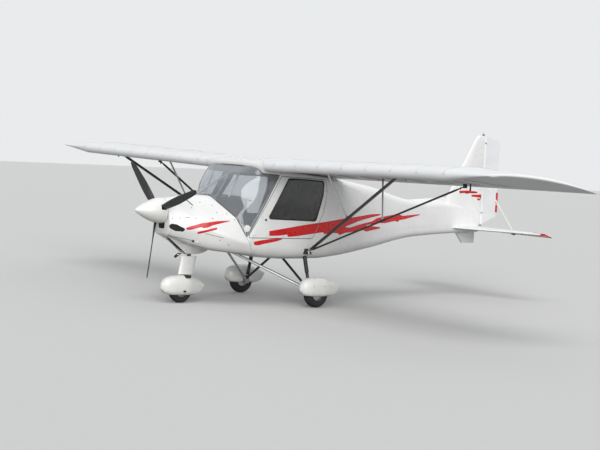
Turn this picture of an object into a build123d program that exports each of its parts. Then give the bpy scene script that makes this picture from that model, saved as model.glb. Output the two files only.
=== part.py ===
"""High-wing, strut-braced ultralight aircraft on a tricycle undercarriage.

Millimetres. +X points to the nose, +Y to the left wing tip and +Z up. The origin is on the
ground, at the middle of the length and in the plane of symmetry.
"""

from build123d import *
import os
from math import cos, radians, sin, tan

os.makedirs("parts", exist_ok=True)

# Shells and clearances
SHELL = 20
GLASS = 5
GAP = 6
PIN_FIT = 0.05
PIN_R = 5

# Wing
WING_LE_X = 1672
WING_NOSE_Z = 1765
WING_TE_X = 350
WING_TE_Z = 1612
WING_TE_THICK = 10
WING_FLAT_X = 1540
WING_FLAT_Z = 1712
WING_TOP_X = 1600
WING_TOP_Z = 1808
WING_CREST_X = 1150
WING_CREST_Z = 1838
CENTRE_HALF = 400
HOOD_X = 1690
HOOD_Z = 1728
DIHEDRAL = 1.0
WING_FULL_Y = 3760
TIP_LE = (1655, 4385)
TIP_TE = (350, 4725)
TIP_THIN = 0.22

# Control surfaces on the wing
SURFACE_AXIS_X = 620
SURFACE_NOSE_R = 46
SURFACE_HALF = 51.2
SURFACE_MID_X = 485
SURFACE_MID_HALF = 31.5
FLAP_STATIONS = ((640, 1), (2440, 1))
AILERON_STATIONS = ((2470, 1), (WING_FULL_Y, 1), (4290, 0.56))
FLAP_HINGES = (800, 1540, 2280)
AILERON_HINGES = (2620, 3180, 3700)

# Struts, and where they meet the wing spars
STRUT_FOOT = (903, 636, 690)
FRONT_STRUT_TOP = (1553, 2970, 1770)
REAR_STRUT_TOP = (740, 3162, 1665)
FRONT_JURY = (1700, (1565, 1690, 1755))
REAR_JURY = (1900, (720, 1750, 1682))
TIE_EYE = (1530, 3030, 1718)
FRONT_STRUT = (62, 26)
REAR_STRUT = (46, 22)

# Undercarriage
MAIN_X = 885
MAIN_Y = 800
MAIN_R = 165
MAIN_WIDTH = 118
NOSE_WHEEL_X = 2392
NOSE_R = 150
NOSE_WIDTH = 106
RIM_R = 76
AXLE_R = 15
NOSE_AXLE_R = 12
LEG_R = 24
STEER_LOW = (2362, 0, 200)
STEER_HIGH = (2243, 0, 800)

# Engine and propeller
PROP_AXIS_Z = 1135
PROP_X = 2778
PROP_R = 860
PROP_SHAFT_R = 25
SPINNER_R = 157
SPINNER_BASE_X = 2724
SPINNER_TIP_X = 3100
BLADE_COUNT = 3
BLADE_TURN = 169
FIREWALL_X = 2050
FIREWALL_THICK = 12

# Tail
FIN_LE_LOW = (-1860, 1020)
FIN_LE_HIGH = (-2618, 2303)
FIN_REAR_X = -2772
RUDDER_AXIS_X = -2795
RUDDER_NOSE_R = 17
RUDDER_TE_X = -3100
RUDDER_HINGES = (1180, 1700, 2190)
TAIL_PLANE_Z = 968
TAIL_HALF_SPAN = 1290
TAIL_REAR_X = -2722
ELEVATOR_AXIS_X = -2742
ELEVATOR_NOSE_R = 14
ELEVATOR_TE_X = -2948
ELEVATOR_ROOT_Y = 112
ELEVATOR_DROOP = 14
ELEVATOR_HINGES = (240, 700, 1130)


def wing_lower_z(x):
    """Height of the flat underside of the wing's centre at x."""
    return WING_TE_Z + (x - WING_TE_X) * (WING_FLAT_Z - WING_TE_Z) / (WING_FLAT_X - WING_TE_X)


# The windscreen's foot lies in a plane that leans forward: x at a height, and the rise of x with z
BASE_X = 1842
BASE_Z = 856
BASE_LEAN = 0.528
SIDE_BULGE = 0.012


def base_x(z):
    """The plane of the windscreen's foot, in side view."""
    return BASE_X + BASE_LEAN * (z - BASE_Z)


def upright(x, half_low, half_high, z_low, z_high, r_low, r_high):
    """An upright fuselage station whose sides bulge a little between the low and the high corner."""
    rise = z_high - z_low
    bulge = SIDE_BULGE * rise
    side = (half_low + 0.3 * (half_high - half_low) + bulge, z_low + 0.3 * rise, 90)
    shoulder = (half_low + 0.65 * (half_high - half_low) + bulge, z_low + 0.65 * rise, 90)
    return (x, 0, (half_low, z_low, r_low), side, shoulder, (half_high, z_high, r_high))


# Fuselage stations: x, its lean, then the low, side, shoulder and top corner, each as half width, z, radius
HULL = [
    (2700, 0, (130, 842, 70), (190, 930, 60), (170, 1055, 50), (75, 1288, 105)),
    (2590, 0, (215, 800, 110), (285, 930, 110), (268, 1064, 60), (85, 1310, 160)),
    (2460, 0, (290, 745, 140), (365, 920, 150), (338, 1066, 70), (95, 1325, 210)),
    (2300, 0, (380, 694, 160), (440, 910, 150), (415, 1070, 70), (100, 1338, 260)),
    (BASE_X, BASE_LEAN, (560, 630, 150), (603, 790, 90), (508, 1092, 45), (110, 1337, 320)),
    upright(HOOD_X, 595, 575, 614, HOOD_Z, 160, 170),
    upright(WING_FLAT_X, 600, 588, 597, WING_FLAT_Z, 160, 90),
    upright(1200, 602, 590, 579, wing_lower_z(1200), 160, 50),
    upright(700, 600, 585, 583, wing_lower_z(700), 160, 50),
    upright(330, 556, 535, 610, wing_lower_z(330), 150, 90),
]
TAIL = [
    HULL[-1],
    upright(-340, 408, 380, 692, 1532, 130, 150),
    upright(-1210, 257, 225, 838, 1352, 90, 120),
    upright(-1970, 147, 112, 880, 1312, 60, 80),
    upright(-2590, 64, 46, 900, 1198, 34, 36),
    upright(-2705, 45, 36, 905, 1040, 24, 26),
]

# Side views of the fuselage panels, (x, z)
APEX = (base_x(860), 860)
COWL_OUTLINE = [(2900, 400), (2900, 1600), (base_x(1600), 1600), (base_x(400), 400)]
GLASS_OUTLINE = [APEX, (base_x(1600), 1600), (2000, 1850), (1700, 1760), (1640, 1646), (1398, 1634)]
DOOR_OUTLINE = [(1833, 856), (1361, 1620), (650, 1596), (612, 1450), (674, 1178), (827, 848)]
WINDOW_OUTLINE = [(1520, 1122), (1238, 1592), (694, 1568), (700, 1400), (793, 1080)]
DOOR_AXIS_Y = 598
DOOR_AXIS_Z = 1634
DOOR_HINGES = (1180, 830)
CHIN_OUTLINE = [(2712, 862), (2706, 818), (2440, 612), (2090, 604), (2020, 660), (2060, 800), (2660, 890)]
CHIN_MOUTH = [(2740, 826), (2670, 792), (2492, 656), (2450, 590), (2800, 600)]
CHIN_HALF = 140

# Wheel pant stations: x ahead of the axle, half width, z low, z high, corner radius
MAIN_PANT = [
    (258, 28, 225, 300, 26),
    (215, 72, 185, 350, 60),
    (110, 98, 158, 385, 80),
    (-60, 100, 155, 392, 80),
    (-220, 66, 175, 352, 55),
    (-385, 14, 245, 280, 12),
]
NOSE_PANT = [
    (278, 26, 170, 250, 24),
    (228, 70, 130, 305, 58),
    (110, 96, 104, 340, 75),
    (-50, 100, 100, 346, 78),
    (-210, 64, 125, 305, 50),
    (-352, 12, 195, 228, 10),
]

# Propeller blade: radius, chord, thickness, pitch angle
BLADE = [(48, 50, 44, 60), (200, 86, 24, 48), (420, 98, 14, 32), (650, 82, 10, 23), (PROP_R, 46, 5, 17)]


def section(x, lean, *corners, inset=0):
    """A fuselage cross-section: straight runs between rounded corners, the same on both sides."""
    plane = Plane(origin=(x - lean * BASE_Z, 0, 0), x_dir=(0, 1, 0), z_dir=(1, 0, -lean))
    stretch = (1 + lean**2) ** 0.5
    right = [(half, z * stretch) for half, z, _ in corners]
    left = [(-half, height) for half, height in reversed(right)]
    radii = [radius for _, _, radius in corners]
    with BuildSketch(plane) as outline:
        with BuildLine():
            FilletPolyline(*right, *left, radius=radii + radii[::-1], close=True)
        make_face()
        if inset:
            offset(amount=-inset)
    return outline.sketch


def hull_solid(stations, inset=0):
    """The solid within the skin, or within a surface that lies inset behind it."""
    with BuildPart() as body:
        for row in stations:
            add(section(*row, inset=inset))
        loft(ruled=True)
    return body.part


def side_prism(points, y_low, y_high, grow=0):
    """A side-view outline carried across the aircraft from y_low to y_high."""
    with BuildPart() as prism:
        with BuildSketch(Plane.XZ.offset(-y_low)):
            Polygon(*points, align=None)
            if grow:
                offset(amount=grow, kind=Kind.INTERSECTION)
        extrude(amount=-(y_high - y_low))
    return prism.part


def block(low, high):
    """A box between two corners."""
    with BuildPart() as box:
        with Locations(tuple((a + b) / 2 for a, b in zip(low, high))):
            Box(*(b - a for a, b in zip(low, high)))
    return box.part


def rod(start, end, radius):
    """A round bar between two points."""
    a, b = Vector(*start), Vector(*end)
    with BuildPart() as bar:
        with BuildSketch(Plane(origin=a, z_dir=b - a)):
            Circle(radius)
        extrude(amount=(b - a).length)
    return bar.part


def streamlined(start, end, chord, thick):
    """A faired bar: an oval of two arcs, its chord fore and aft."""
    a, b = Vector(*start), Vector(*end)
    along = (b - a).normalized()
    fore = (Vector(1, 0, 0) - along * along.X).normalized()
    with BuildPart() as bar:
        with BuildSketch(Plane(origin=a, x_dir=fore, z_dir=along)):
            with BuildLine():
                ThreePointArc((chord / 2, 0), (0, thick / 2), (-chord / 2, 0))
                ThreePointArc((-chord / 2, 0), (0, -thick / 2), (chord / 2, 0))
            make_face()
        extrude(amount=(b - a).length)
    return bar.part


def mirrored(shape):
    """The same piece on the other side of the aircraft."""
    return shape.mirror(Plane.XZ)


def keep(shape, name):
    """Label a finished piece and write it."""
    shape.label = name
    export_step(shape, f"parts/{name}.step")


def both_sides(shape, name):
    """Write a left-hand piece and its mirror image."""
    keep(shape, f"{name}_left")
    keep(mirrored(shape), f"{name}_right")


def pair(shape, name):
    """Write a left-hand piece and its mirror image in one file, as solids that don't touch."""
    with BuildPart() as two:
        add(shape)
        add(mirrored(shape))
    keep(two.part, name)


def part_way(start, end, value, index=1):
    """The point of a straight line where its x, y or z, as index says, has this value."""
    share = (value - start[index]) / (end[index] - start[index])
    return tuple(a + (b - a) * share for a, b in zip(start, end))


def steering(z):
    """The point of the steering axis at this height."""
    return part_way(STEER_LOW, STEER_HIGH, z, 2)


# Hinges of the control surfaces: pins on the carrier, notches and bores in the surface
def hinge_frame(start, end, y_or_z, axis_index, forward):
    """A point of the hinge line and a plane there: x forward, z along the line."""
    a, b = Vector(*start), Vector(*end)
    share = (y_or_z - start[axis_index]) / (end[axis_index] - start[axis_index])
    along = (b - a).normalized()
    fore = (Vector(*forward) - along * along.dot(Vector(*forward))).normalized()
    return Plane(origin=a + (b - a) * share, x_dir=fore, z_dir=along)


def slab_on(plane, x_low, x_high, half_height, half_width):
    """A box on a plane, with its width along the plane's normal."""
    with BuildPart() as slab:
        with BuildSketch(plane):
            with Locations(((x_low + x_high) / 2, 0)):
                Rectangle(x_high - x_low, 2 * half_height)
        extrude(amount=half_width, both=True)
    return slab.part


def pin_on(plane, radius, half_length):
    """A pin along the plane's normal, centred on its origin."""
    with BuildPart() as pin:
        with BuildSketch(plane):
            Circle(radius)
        extrude(amount=half_length, both=True)
    return pin.part


def hinge_carriers(frames, nose_r, arm, half_height):
    """Bracket plates with their pins, for the piece that carries a surface."""
    with BuildPart() as carriers:
        for plane in frames:
            add(slab_on(plane, -half_height, nose_r + arm, half_height, 4))
            add(pin_on(plane, PIN_R, 30))
    return carriers.part


def hinge_notches(frames, nose_r, behind):
    """What the brackets and pins need cut out of the surface."""
    with BuildPart() as notches:
        for plane in frames:
            add(slab_on(plane, -behind, nose_r + 12, nose_r + 20, 10))
            add(pin_on(plane, PIN_R + PIN_FIT, 36))
    return notches.part


# Wing section, in side view
def camber_z(x):
    """Height of the section's middle line at x."""
    back = x - WING_TE_X
    return WING_TE_Z + WING_TE_THICK / 2 + 0.2922 * back - 0.000141 * back**2


def wing_outline(rise=0, stretch=1.0, thin=1.0):
    """The wing's profile; stretch lengthens its chord and thin flattens it to its middle line."""

    def place(x, z):
        above = (z - camber_z(x)) * thin
        if x > WING_CREST_X:
            x = WING_LE_X - (WING_LE_X - x) * thin
        return (WING_TE_X + (x - WING_TE_X) * stretch, camber_z(x) + above + rise)

    with BuildSketch() as outline:
        with BuildLine():
            Line(place(WING_TE_X, WING_TE_Z), place(WING_FLAT_X, WING_FLAT_Z))
            ThreePointArc(
                place(WING_FLAT_X, WING_FLAT_Z),
                place(WING_LE_X, WING_NOSE_Z),
                place(WING_TOP_X, WING_TOP_Z),
            )
            ThreePointArc(
                place(WING_TOP_X, WING_TOP_Z),
                place(WING_CREST_X, WING_CREST_Z),
                place(WING_TE_X, WING_TE_Z + WING_TE_THICK),
            )
            Line(place(WING_TE_X, WING_TE_Z + WING_TE_THICK), place(WING_TE_X, WING_TE_Z))
        make_face()
    return outline.sketch


def rise_at(y):
    """How far dihedral lifts the wing at y."""
    return (y - CENTRE_HALF) * tan(radians(DIHEDRAL))


def wing_panel_solid():
    """The left wing with its trailing edge whole: a straight panel, then a thin raked tip."""
    with BuildPart() as panel:
        for y in (CENTRE_HALF, WING_FULL_Y):
            add(Plane.XZ.offset(-y) * wing_outline(rise_at(y)))
        loft(ruled=True)
    along = Vector(TIP_LE[0] - TIP_TE[0], TIP_LE[1] - TIP_TE[1], 0)
    unit = along.normalized()
    rake = Plane(
        origin=Vector(*TIP_TE, 0) - unit * WING_TE_X,
        x_dir=unit,
        z_dir=(unit.Y, -unit.X, 0),
    )
    stretch = along.length / (WING_LE_X - WING_TE_X)
    with BuildPart() as tip:
        add(Plane.XZ.offset(-WING_FULL_Y) * wing_outline(rise_at(WING_FULL_Y)))
        add(rake * wing_outline(rise_at(TIP_LE[1]), stretch, TIP_THIN))
        loft(ruled=True)
    with BuildPart() as wing:
        add(panel.part)
        add(tip.part)
    return wing.part


def surface_axis(y):
    """A point of the line that the flap and aileron turn about."""
    return (SURFACE_AXIS_X, y, camber_z(SURFACE_AXIS_X) + rise_at(y))


def surface_section(y, thin):
    """The section of a flap or aileron at y: round nose, curved top, blunt trailing edge."""

    def place(x, above):
        return (x, camber_z(x) + rise_at(y) + above * thin)

    with BuildSketch(Plane.XZ.offset(-y)) as outline:
        with BuildLine():
            ThreePointArc(
                place(SURFACE_AXIS_X, SURFACE_HALF),
                (SURFACE_AXIS_X + SURFACE_NOSE_R * thin, surface_axis(y)[2]),
                place(SURFACE_AXIS_X, -SURFACE_HALF),
            )
            Line(place(SURFACE_AXIS_X, -SURFACE_HALF), place(WING_TE_X, -WING_TE_THICK / 2))
            Line(place(WING_TE_X, -WING_TE_THICK / 2), place(WING_TE_X, WING_TE_THICK / 2))
            ThreePointArc(
                place(WING_TE_X, WING_TE_THICK / 2),
                place(SURFACE_MID_X, SURFACE_MID_HALF),
                place(SURFACE_AXIS_X, SURFACE_HALF),
            )
        make_face()
    return outline.sketch


hull_outer = hull_solid(HULL)
nose_back = (HULL[0][0] - SHELL, *HULL[0][1:])
hull_inner = hull_solid([nose_back] + HULL[1:], SHELL)
tail_outer = hull_solid(TAIL)
tail_inner = hull_solid(TAIL[:-1] + [(TAIL[-1][0] + SHELL, *TAIL[-1][1:])], 14)
wing_solid = wing_panel_solid()

# Wing panels, flaps and ailerons
trailing = {"flap": (FLAP_STATIONS, FLAP_HINGES), "aileron": (AILERON_STATIONS, AILERON_HINGES)}
surfaces = {}
carriers = []
coves = []
for name, (stations, hinges) in trailing.items():
    inner_y = stations[0][0]
    outer_y = stations[-1][0]
    ends = (surface_axis(inner_y), surface_axis(outer_y))
    frames = [hinge_frame(*ends, y, 1, (1, 0, 0)) for y in hinges]
    with BuildPart() as surface:
        for station in stations:
            add(surface_section(*station))
        loft(ruled=True)
        add(hinge_notches(frames, SURFACE_NOSE_R, 34), mode=Mode.SUBTRACT)
    surfaces[name] = surface.part
    carriers.append(hinge_carriers(frames, SURFACE_NOSE_R, 40, 13))
    low = surface_axis(inner_y - GAP)
    high = surface_axis(outer_y + GAP)
    coves.append(rod(low, high, SURFACE_HALF + GAP))
    coves.append(block((0, inner_y - GAP, 1400), (SURFACE_AXIS_X, outer_y + GAP, 2100)))

with BuildPart() as wing:
    add(wing_solid)
    for cove in coves:
        add(cove, mode=Mode.SUBTRACT)
    for carrier in carriers:
        add(carrier)
    eye_x, eye_y, eye_z = TIE_EYE
    add(block((eye_x - 4, eye_y - 16, eye_z - 18), (eye_x + 4, eye_y + 16, eye_z + 60)))
    add(rod((eye_x - 6, eye_y, eye_z), (eye_x + 6, eye_y, eye_z), 8), mode=Mode.SUBTRACT)
both_sides(wing.part, "wing")
both_sides(surfaces["flap"], "flap")
both_sides(surfaces["aileron"], "aileron")

# Centre section: the wing carried over the cabin, its nose dropped to the windscreen
with BuildPart() as wing_centre:
    with BuildSketch(Plane.XZ):
        with BuildLine():
            Polyline((WING_TE_X, WING_TE_Z), (WING_FLAT_X, WING_FLAT_Z), (HOOD_X, HOOD_Z))
            ThreePointArc((HOOD_X, HOOD_Z), (1704, 1770), (WING_TOP_X, WING_TOP_Z + 4))
            ThreePointArc(
                (WING_TOP_X, WING_TOP_Z + 4),
                (WING_CREST_X, WING_CREST_Z + 4),
                (WING_TE_X, WING_TE_Z + WING_TE_THICK),
            )
            Line((WING_TE_X, WING_TE_Z + WING_TE_THICK), (WING_TE_X, WING_TE_Z))
        make_face()
    extrude(amount=CENTRE_HALF, both=True)
keep(wing_centre.part, "wing_centre")

wings_whole = [wing_solid, mirrored(wing_solid), wing_centre.part]

# Fuselage: engine cowl, cabin shell, glazing and doors are cut from one skin
with BuildPart() as skin:
    add(hull_outer)
    add(hull_inner, mode=Mode.SUBTRACT)

with BuildPart() as engine_cowl:
    add(skin.part)
    add(side_prism(COWL_OUTLINE, -800, 800), mode=Mode.INTERSECT)
    add(rod((2600, 0, PROP_AXIS_Z), (2760, 0, PROP_AXIS_Z), 72), mode=Mode.SUBTRACT)
    add(block((2640, -72, 918), (2760, 72, 1000)), mode=Mode.SUBTRACT)
    for side in (-1, 1):
        add(rod((2500, side * 218, 948), (2760, side * 178, 948), 36), mode=Mode.SUBTRACT)
    add(rod(STEER_LOW, STEER_HIGH, LEG_R + 22), mode=Mode.SUBTRACT)
keep(engine_cowl.part, "engine_cowl")

with BuildPart() as chin_scoop:
    add(side_prism(CHIN_OUTLINE, -CHIN_HALF, CHIN_HALF))
    add(side_prism(CHIN_OUTLINE, 15 - CHIN_HALF, CHIN_HALF - 15, grow=-15), mode=Mode.SUBTRACT)
    add(side_prism(CHIN_MOUTH, 28 - CHIN_HALF, CHIN_HALF - 28), mode=Mode.SUBTRACT)
    add(hull_outer, mode=Mode.SUBTRACT)
    add(rod(STEER_LOW, STEER_HIGH, LEG_R + 22), mode=Mode.SUBTRACT)
keep(chin_scoop.part, "chin_scoop")

with BuildPart() as exhaust_pipe:
    add(rod((2392, 0, 632), (2492, 0, 566), 17))
    add(side_prism(CHIN_OUTLINE, -CHIN_HALF, CHIN_HALF), mode=Mode.SUBTRACT)
keep(exhaust_pipe.part, "exhaust_pipe")

with BuildPart() as cabin_shell:
    add(skin.part)
    add(side_prism(COWL_OUTLINE, -800, 800), mode=Mode.SUBTRACT)
    add(side_prism(GLASS_OUTLINE, -800, 800), mode=Mode.SUBTRACT)
    add(side_prism(DOOR_OUTLINE, 300, 800, grow=GAP), mode=Mode.SUBTRACT)
    add(side_prism(DOOR_OUTLINE, -800, -300, grow=GAP), mode=Mode.SUBTRACT)
    for whole in wings_whole:
        add(whole, mode=Mode.SUBTRACT)
    for x in DOOR_HINGES:
        for side in (-1, 1):
            lug_y = side * DOOR_AXIS_Y
            recess = (side * 558, side * 640)
            add(
                block((x - 34, min(recess), 1596), (x + 34, max(recess), 1652)),
                mode=Mode.SUBTRACT,
            )
            add(rod((x - 42, lug_y, DOOR_AXIS_Z), (x + 42, lug_y, DOOR_AXIS_Z), 3))
            for end in (-38, 38):
                inner = side * (DOOR_AXIS_Y - 50)
                outer = side * (DOOR_AXIS_Y + 5)
                low = (x + end - 4, min(inner, outer), DOOR_AXIS_Z - 5)
                high = (x + end + 4, max(inner, outer), DOOR_AXIS_Z + 14)
                add(block(low, high))
keep(cabin_shell.part, "cabin_shell")

with BuildPart() as windscreen:
    add(hull_outer)
    add(hull_solid(HULL, GLASS), mode=Mode.SUBTRACT)
    add(side_prism(GLASS_OUTLINE, -800, 800), mode=Mode.INTERSECT)
    for whole in wings_whole:
        add(whole, mode=Mode.SUBTRACT)
keep(windscreen.part, "windscreen")

with BuildPart() as door:
    add(skin.part)
    add(side_prism(DOOR_OUTLINE, 300, 800), mode=Mode.INTERSECT)
    add(side_prism(WINDOW_OUTLINE, 300, 800), mode=Mode.SUBTRACT)
    for x in DOOR_HINGES:
        add(rod((x - 28, DOOR_AXIS_Y, DOOR_AXIS_Z), (x + 28, DOOR_AXIS_Y, DOOR_AXIS_Z), 9))
        add(block((x - 28, DOOR_AXIS_Y - 16, 1592), (x + 28, DOOR_AXIS_Y - 3, DOOR_AXIS_Z)))
        add(rod((x - 30, DOOR_AXIS_Y, DOOR_AXIS_Z), (x + 30, DOOR_AXIS_Y, DOOR_AXIS_Z), 3 + PIN_FIT),
            mode=Mode.SUBTRACT)
both_sides(door.part, "door")

with BuildPart() as door_window:
    add(hull_outer)
    add(hull_solid(HULL, GLASS), mode=Mode.SUBTRACT)
    add(side_prism(WINDOW_OUTLINE, 300, 800), mode=Mode.INTERSECT)
both_sides(door_window.part, "door_window")

with BuildPart() as tail_shell:
    add(tail_outer)
    add(tail_inner, mode=Mode.SUBTRACT)
keep(tail_shell.part, "tail_shell")

with BuildPart() as firewall:
    add(hull_inner)
    add(block((FIREWALL_X, -700, 500), (FIREWALL_X + FIREWALL_THICK, 700, 1335)), mode=Mode.INTERSECT)
keep(firewall.part, "firewall")

with BuildPart() as rear_bulkhead:
    add(hull_inner)
    add(block((332, -700, 500), (344, 700, 1760)), mode=Mode.INTERSECT)
keep(rear_bulkhead.part, "rear_bulkhead")

with BuildPart() as instrument_panel:
    add(hull_inner)
    add(block((1745, -420, 1010), (1765, 420, 1318)), mode=Mode.INTERSECT)
with BuildPart() as glareshield:
    add(hull_inner)
    add(block((1765, -700, 1304), (FIREWALL_X, 700, 1318)), mode=Mode.INTERSECT)
with BuildPart() as dash:
    add(instrument_panel.part)
    add(glareshield.part)
keep(dash.part, "instrument_panel")

# Engine: one plain block with its propeller gearbox, and the nose-leg bearing below it
shaft_bore = rod((2618, 0, PROP_AXIS_Z), (2720, 0, PROP_AXIS_Z), PROP_SHAFT_R + PIN_FIT)
with BuildPart() as engine:
    add(block((FIREWALL_X + FIREWALL_THICK, -230, 826), (2520, 230, 1105)))
    add(rod((2520, 0, PROP_AXIS_Z), (2700, 0, PROP_AXIS_Z), 60))
    add(shaft_bore, mode=Mode.SUBTRACT)
keep(engine.part, "engine")

with BuildPart() as nose_leg_bearing:
    add(block((FIREWALL_X + FIREWALL_THICK, -38, 715), (2300, 38, 808)))
    add(rod(steering(650), steering(900), LEG_R + PIN_FIT), mode=Mode.SUBTRACT)
keep(nose_leg_bearing.part, "nose_leg_bearing")

# Propeller: back plate, hub and three twisted blades
with BuildPart() as blade:
    for radius, chord, thick, pitch in BLADE:
        leading = Vector(sin(radians(pitch)), -cos(radians(pitch)), 0)
        with BuildSketch(Plane(origin=(PROP_X, 0, PROP_AXIS_Z + radius), x_dir=leading, z_dir=(0, 0, 1))):
            with BuildLine():
                ThreePointArc((chord / 2, 0), (0, thick * 0.7), (-chord / 2, 0))
                ThreePointArc((-chord / 2, 0), (0, -thick * 0.3), (chord / 2, 0))
            make_face()
    loft(ruled=True)
prop_axis = Axis((PROP_X, 0, PROP_AXIS_Z), (1, 0, 0))
with BuildPart() as propeller:
    add(rod((2624, 0, PROP_AXIS_Z), (PROP_X, 0, PROP_AXIS_Z), PROP_SHAFT_R))
    add(rod((SPINNER_BASE_X, 0, PROP_AXIS_Z), (SPINNER_BASE_X + 6, 0, PROP_AXIS_Z), SPINNER_R - 6))
    add(rod((SPINNER_BASE_X, 0, PROP_AXIS_Z), (2812, 0, PROP_AXIS_Z), 62))
    for turn in range(BLADE_COUNT):
        add(blade.part.rotate(prop_axis, BLADE_TURN + turn * 360 / BLADE_COUNT))
keep(propeller.part, "propeller")


def spinner_solid(base_x, inset):
    """The solid within the spinner's skin, or within a surface that lies inset behind it."""
    with BuildPart() as cone:
        with BuildSketch(Plane.XZ):
            with BuildLine():
                Polyline(
                    (2790, PROP_AXIS_Z + SPINNER_R - 5 - inset),
                    (base_x, PROP_AXIS_Z + SPINNER_R - inset),
                    (base_x, PROP_AXIS_Z),
                    (SPINNER_TIP_X - inset, PROP_AXIS_Z),
                )
                ThreePointArc(
                    (SPINNER_TIP_X - inset, PROP_AXIS_Z),
                    (2968 - inset / 2, PROP_AXIS_Z + 92 - inset),
                    (2790, PROP_AXIS_Z + SPINNER_R - 5 - inset),
                )
            make_face()
        revolve(axis=prop_axis)
    return cone.part


with BuildPart() as spinner:
    add(spinner_solid(SPINNER_BASE_X, 0))
    add(spinner_solid(SPINNER_BASE_X - 5, 5), mode=Mode.SUBTRACT)
    for turn in range(BLADE_COUNT):
        slot = rod((PROP_X, 0, PROP_AXIS_Z + 80), (PROP_X, 0, PROP_AXIS_Z + 180), 48)
        add(slot.rotate(prop_axis, BLADE_TURN + turn * 360 / BLADE_COUNT), mode=Mode.SUBTRACT)
keep(spinner.part, "spinner")

# Wing struts
with BuildPart() as strut_fitting:
    add(block((858, 540, 652), (948, 640, 722)))
    add(hull_outer, mode=Mode.SUBTRACT)
top_x, top_y, top_z = REAR_STRUT_TOP
with BuildPart() as rear_fitting:
    add(block((top_x - 25, top_y - 9, top_z - 20), (top_x + 25, top_y + 9, top_z + 70)))
    add(wing_solid, mode=Mode.SUBTRACT)
with BuildPart() as fittings:
    add(strut_fitting.part)
    add(rear_fitting.part)
pair(fittings.part, "strut_fittings")

front_bar = streamlined(STRUT_FOOT, FRONT_STRUT_TOP, *FRONT_STRUT)
rear_bar = streamlined(STRUT_FOOT, REAR_STRUT_TOP, *REAR_STRUT)
with BuildPart() as front_strut:
    add(front_bar)
    add(wing_solid, mode=Mode.SUBTRACT)
    add(strut_fitting.part, mode=Mode.SUBTRACT)
both_sides(front_strut.part, "front_strut")
with BuildPart() as rear_strut:
    add(rear_bar)
    for solid in (front_bar, strut_fitting.part, rear_fitting.part):
        add(solid, mode=Mode.SUBTRACT)
both_sides(max(rear_strut.part.solids(), key=lambda solid: solid.volume), "rear_strut")
with BuildPart() as jury_struts:
    for strut_top, (low_y, high) in ((FRONT_STRUT_TOP, FRONT_JURY), (REAR_STRUT_TOP, REAR_JURY)):
        add(streamlined(part_way(STRUT_FOOT, strut_top, low_y), high, 26, 18))
    for solid in (wing_solid, front_bar, rear_bar):
        add(solid, mode=Mode.SUBTRACT)
both_sides(jury_struts.part, "jury_struts")

# Main undercarriage
with BuildPart() as gear_leg:
    add(rod((1662, 55, 625), (925, 660, 215), 16))
    add(rod((915, 50, 600), (892, 660, 210), 16))
    add(block((858, 640, 138), (928, 690, 246)))
    add(rod((MAIN_X, 680, MAIN_R), (MAIN_X, 872, MAIN_R), AXLE_R))
    add(rod((MAIN_X, 688, MAIN_R), (MAIN_X, 734, MAIN_R), 26))
    add(hull_outer, mode=Mode.SUBTRACT)
both_sides(gear_leg.part, "gear_leg")
with BuildPart() as shock_leg:
    add(rod((896, 545, 640), (884, 655, 255), 27))
    for solid in (hull_outer, gear_leg.part, strut_fitting.part):
        add(solid, mode=Mode.SUBTRACT)
pair(shock_leg.part, "shock_legs")


def wheel_pant(stations, axle_x, axle_z, slot_r, slot_half):
    """A teardrop fairing with a wheel slot, in the plane of symmetry."""
    with BuildPart() as pant:
        for ahead, half, z_low, z_high, radius in stations:
            with BuildSketch(Plane.YZ.offset(axle_x + ahead)):
                with Locations((0, (z_low + z_high) / 2)):
                    RectangleRounded(2 * half, z_high - z_low, radius * 0.95)
        loft(ruled=True)
        add(rod((axle_x, -slot_half, axle_z), (axle_x, slot_half, axle_z), slot_r), mode=Mode.SUBTRACT)
        low = (axle_x - slot_r, -slot_half, 0)
        high = (axle_x + slot_r, slot_half, axle_z)
        add(block(low, high), mode=Mode.SUBTRACT)
    return pant.part


def tyre_solid(radius, width):
    """A tyre about the Y axis."""
    with BuildPart() as tyre:
        with BuildSketch(Plane.YZ):
            with Locations((0, (radius + RIM_R) / 2)):
                RectangleRounded(width, radius - RIM_R, (radius - RIM_R) * 0.46)
        revolve(axis=Axis.Y)
    return tyre.part


def rim_solid(width, bore):
    """A dished wheel disc with its hub, about the Y axis."""
    with BuildPart() as rim:
        with BuildSketch(Plane.YZ):
            with BuildLine():
                Polyline(
                    (-width / 2, bore),
                    (-width / 2, 32),
                    (-width / 2 + 14, 34),
                    (-width / 2 + 14, RIM_R - 10),
                    (-width / 2, RIM_R - 4),
                    (-width / 2, RIM_R),
                    (width / 2, RIM_R),
                    (width / 2, RIM_R - 4),
                    (width / 2 - 14, RIM_R - 10),
                    (width / 2 - 14, 34),
                    (width / 2, 32),
                    (width / 2, bore),
                    close=True,
                )
            make_face()
        revolve(axis=Axis.Y)
    return rim.part


main_pant = wheel_pant(MAIN_PANT, MAIN_X, MAIN_R, 188, 78).moved(Location((0, MAIN_Y, 0)))
with BuildPart() as main_pant_fitted:
    add(main_pant)
    add(gear_leg.part, mode=Mode.SUBTRACT)
both_sides(main_pant_fitted.part, "main_pant")
main_place = Location((MAIN_X, MAIN_Y, MAIN_R))
both_sides(tyre_solid(MAIN_R, MAIN_WIDTH).moved(main_place), "main_tyre")
both_sides(rim_solid(86, AXLE_R + PIN_FIT).moved(main_place), "main_rim")

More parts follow.
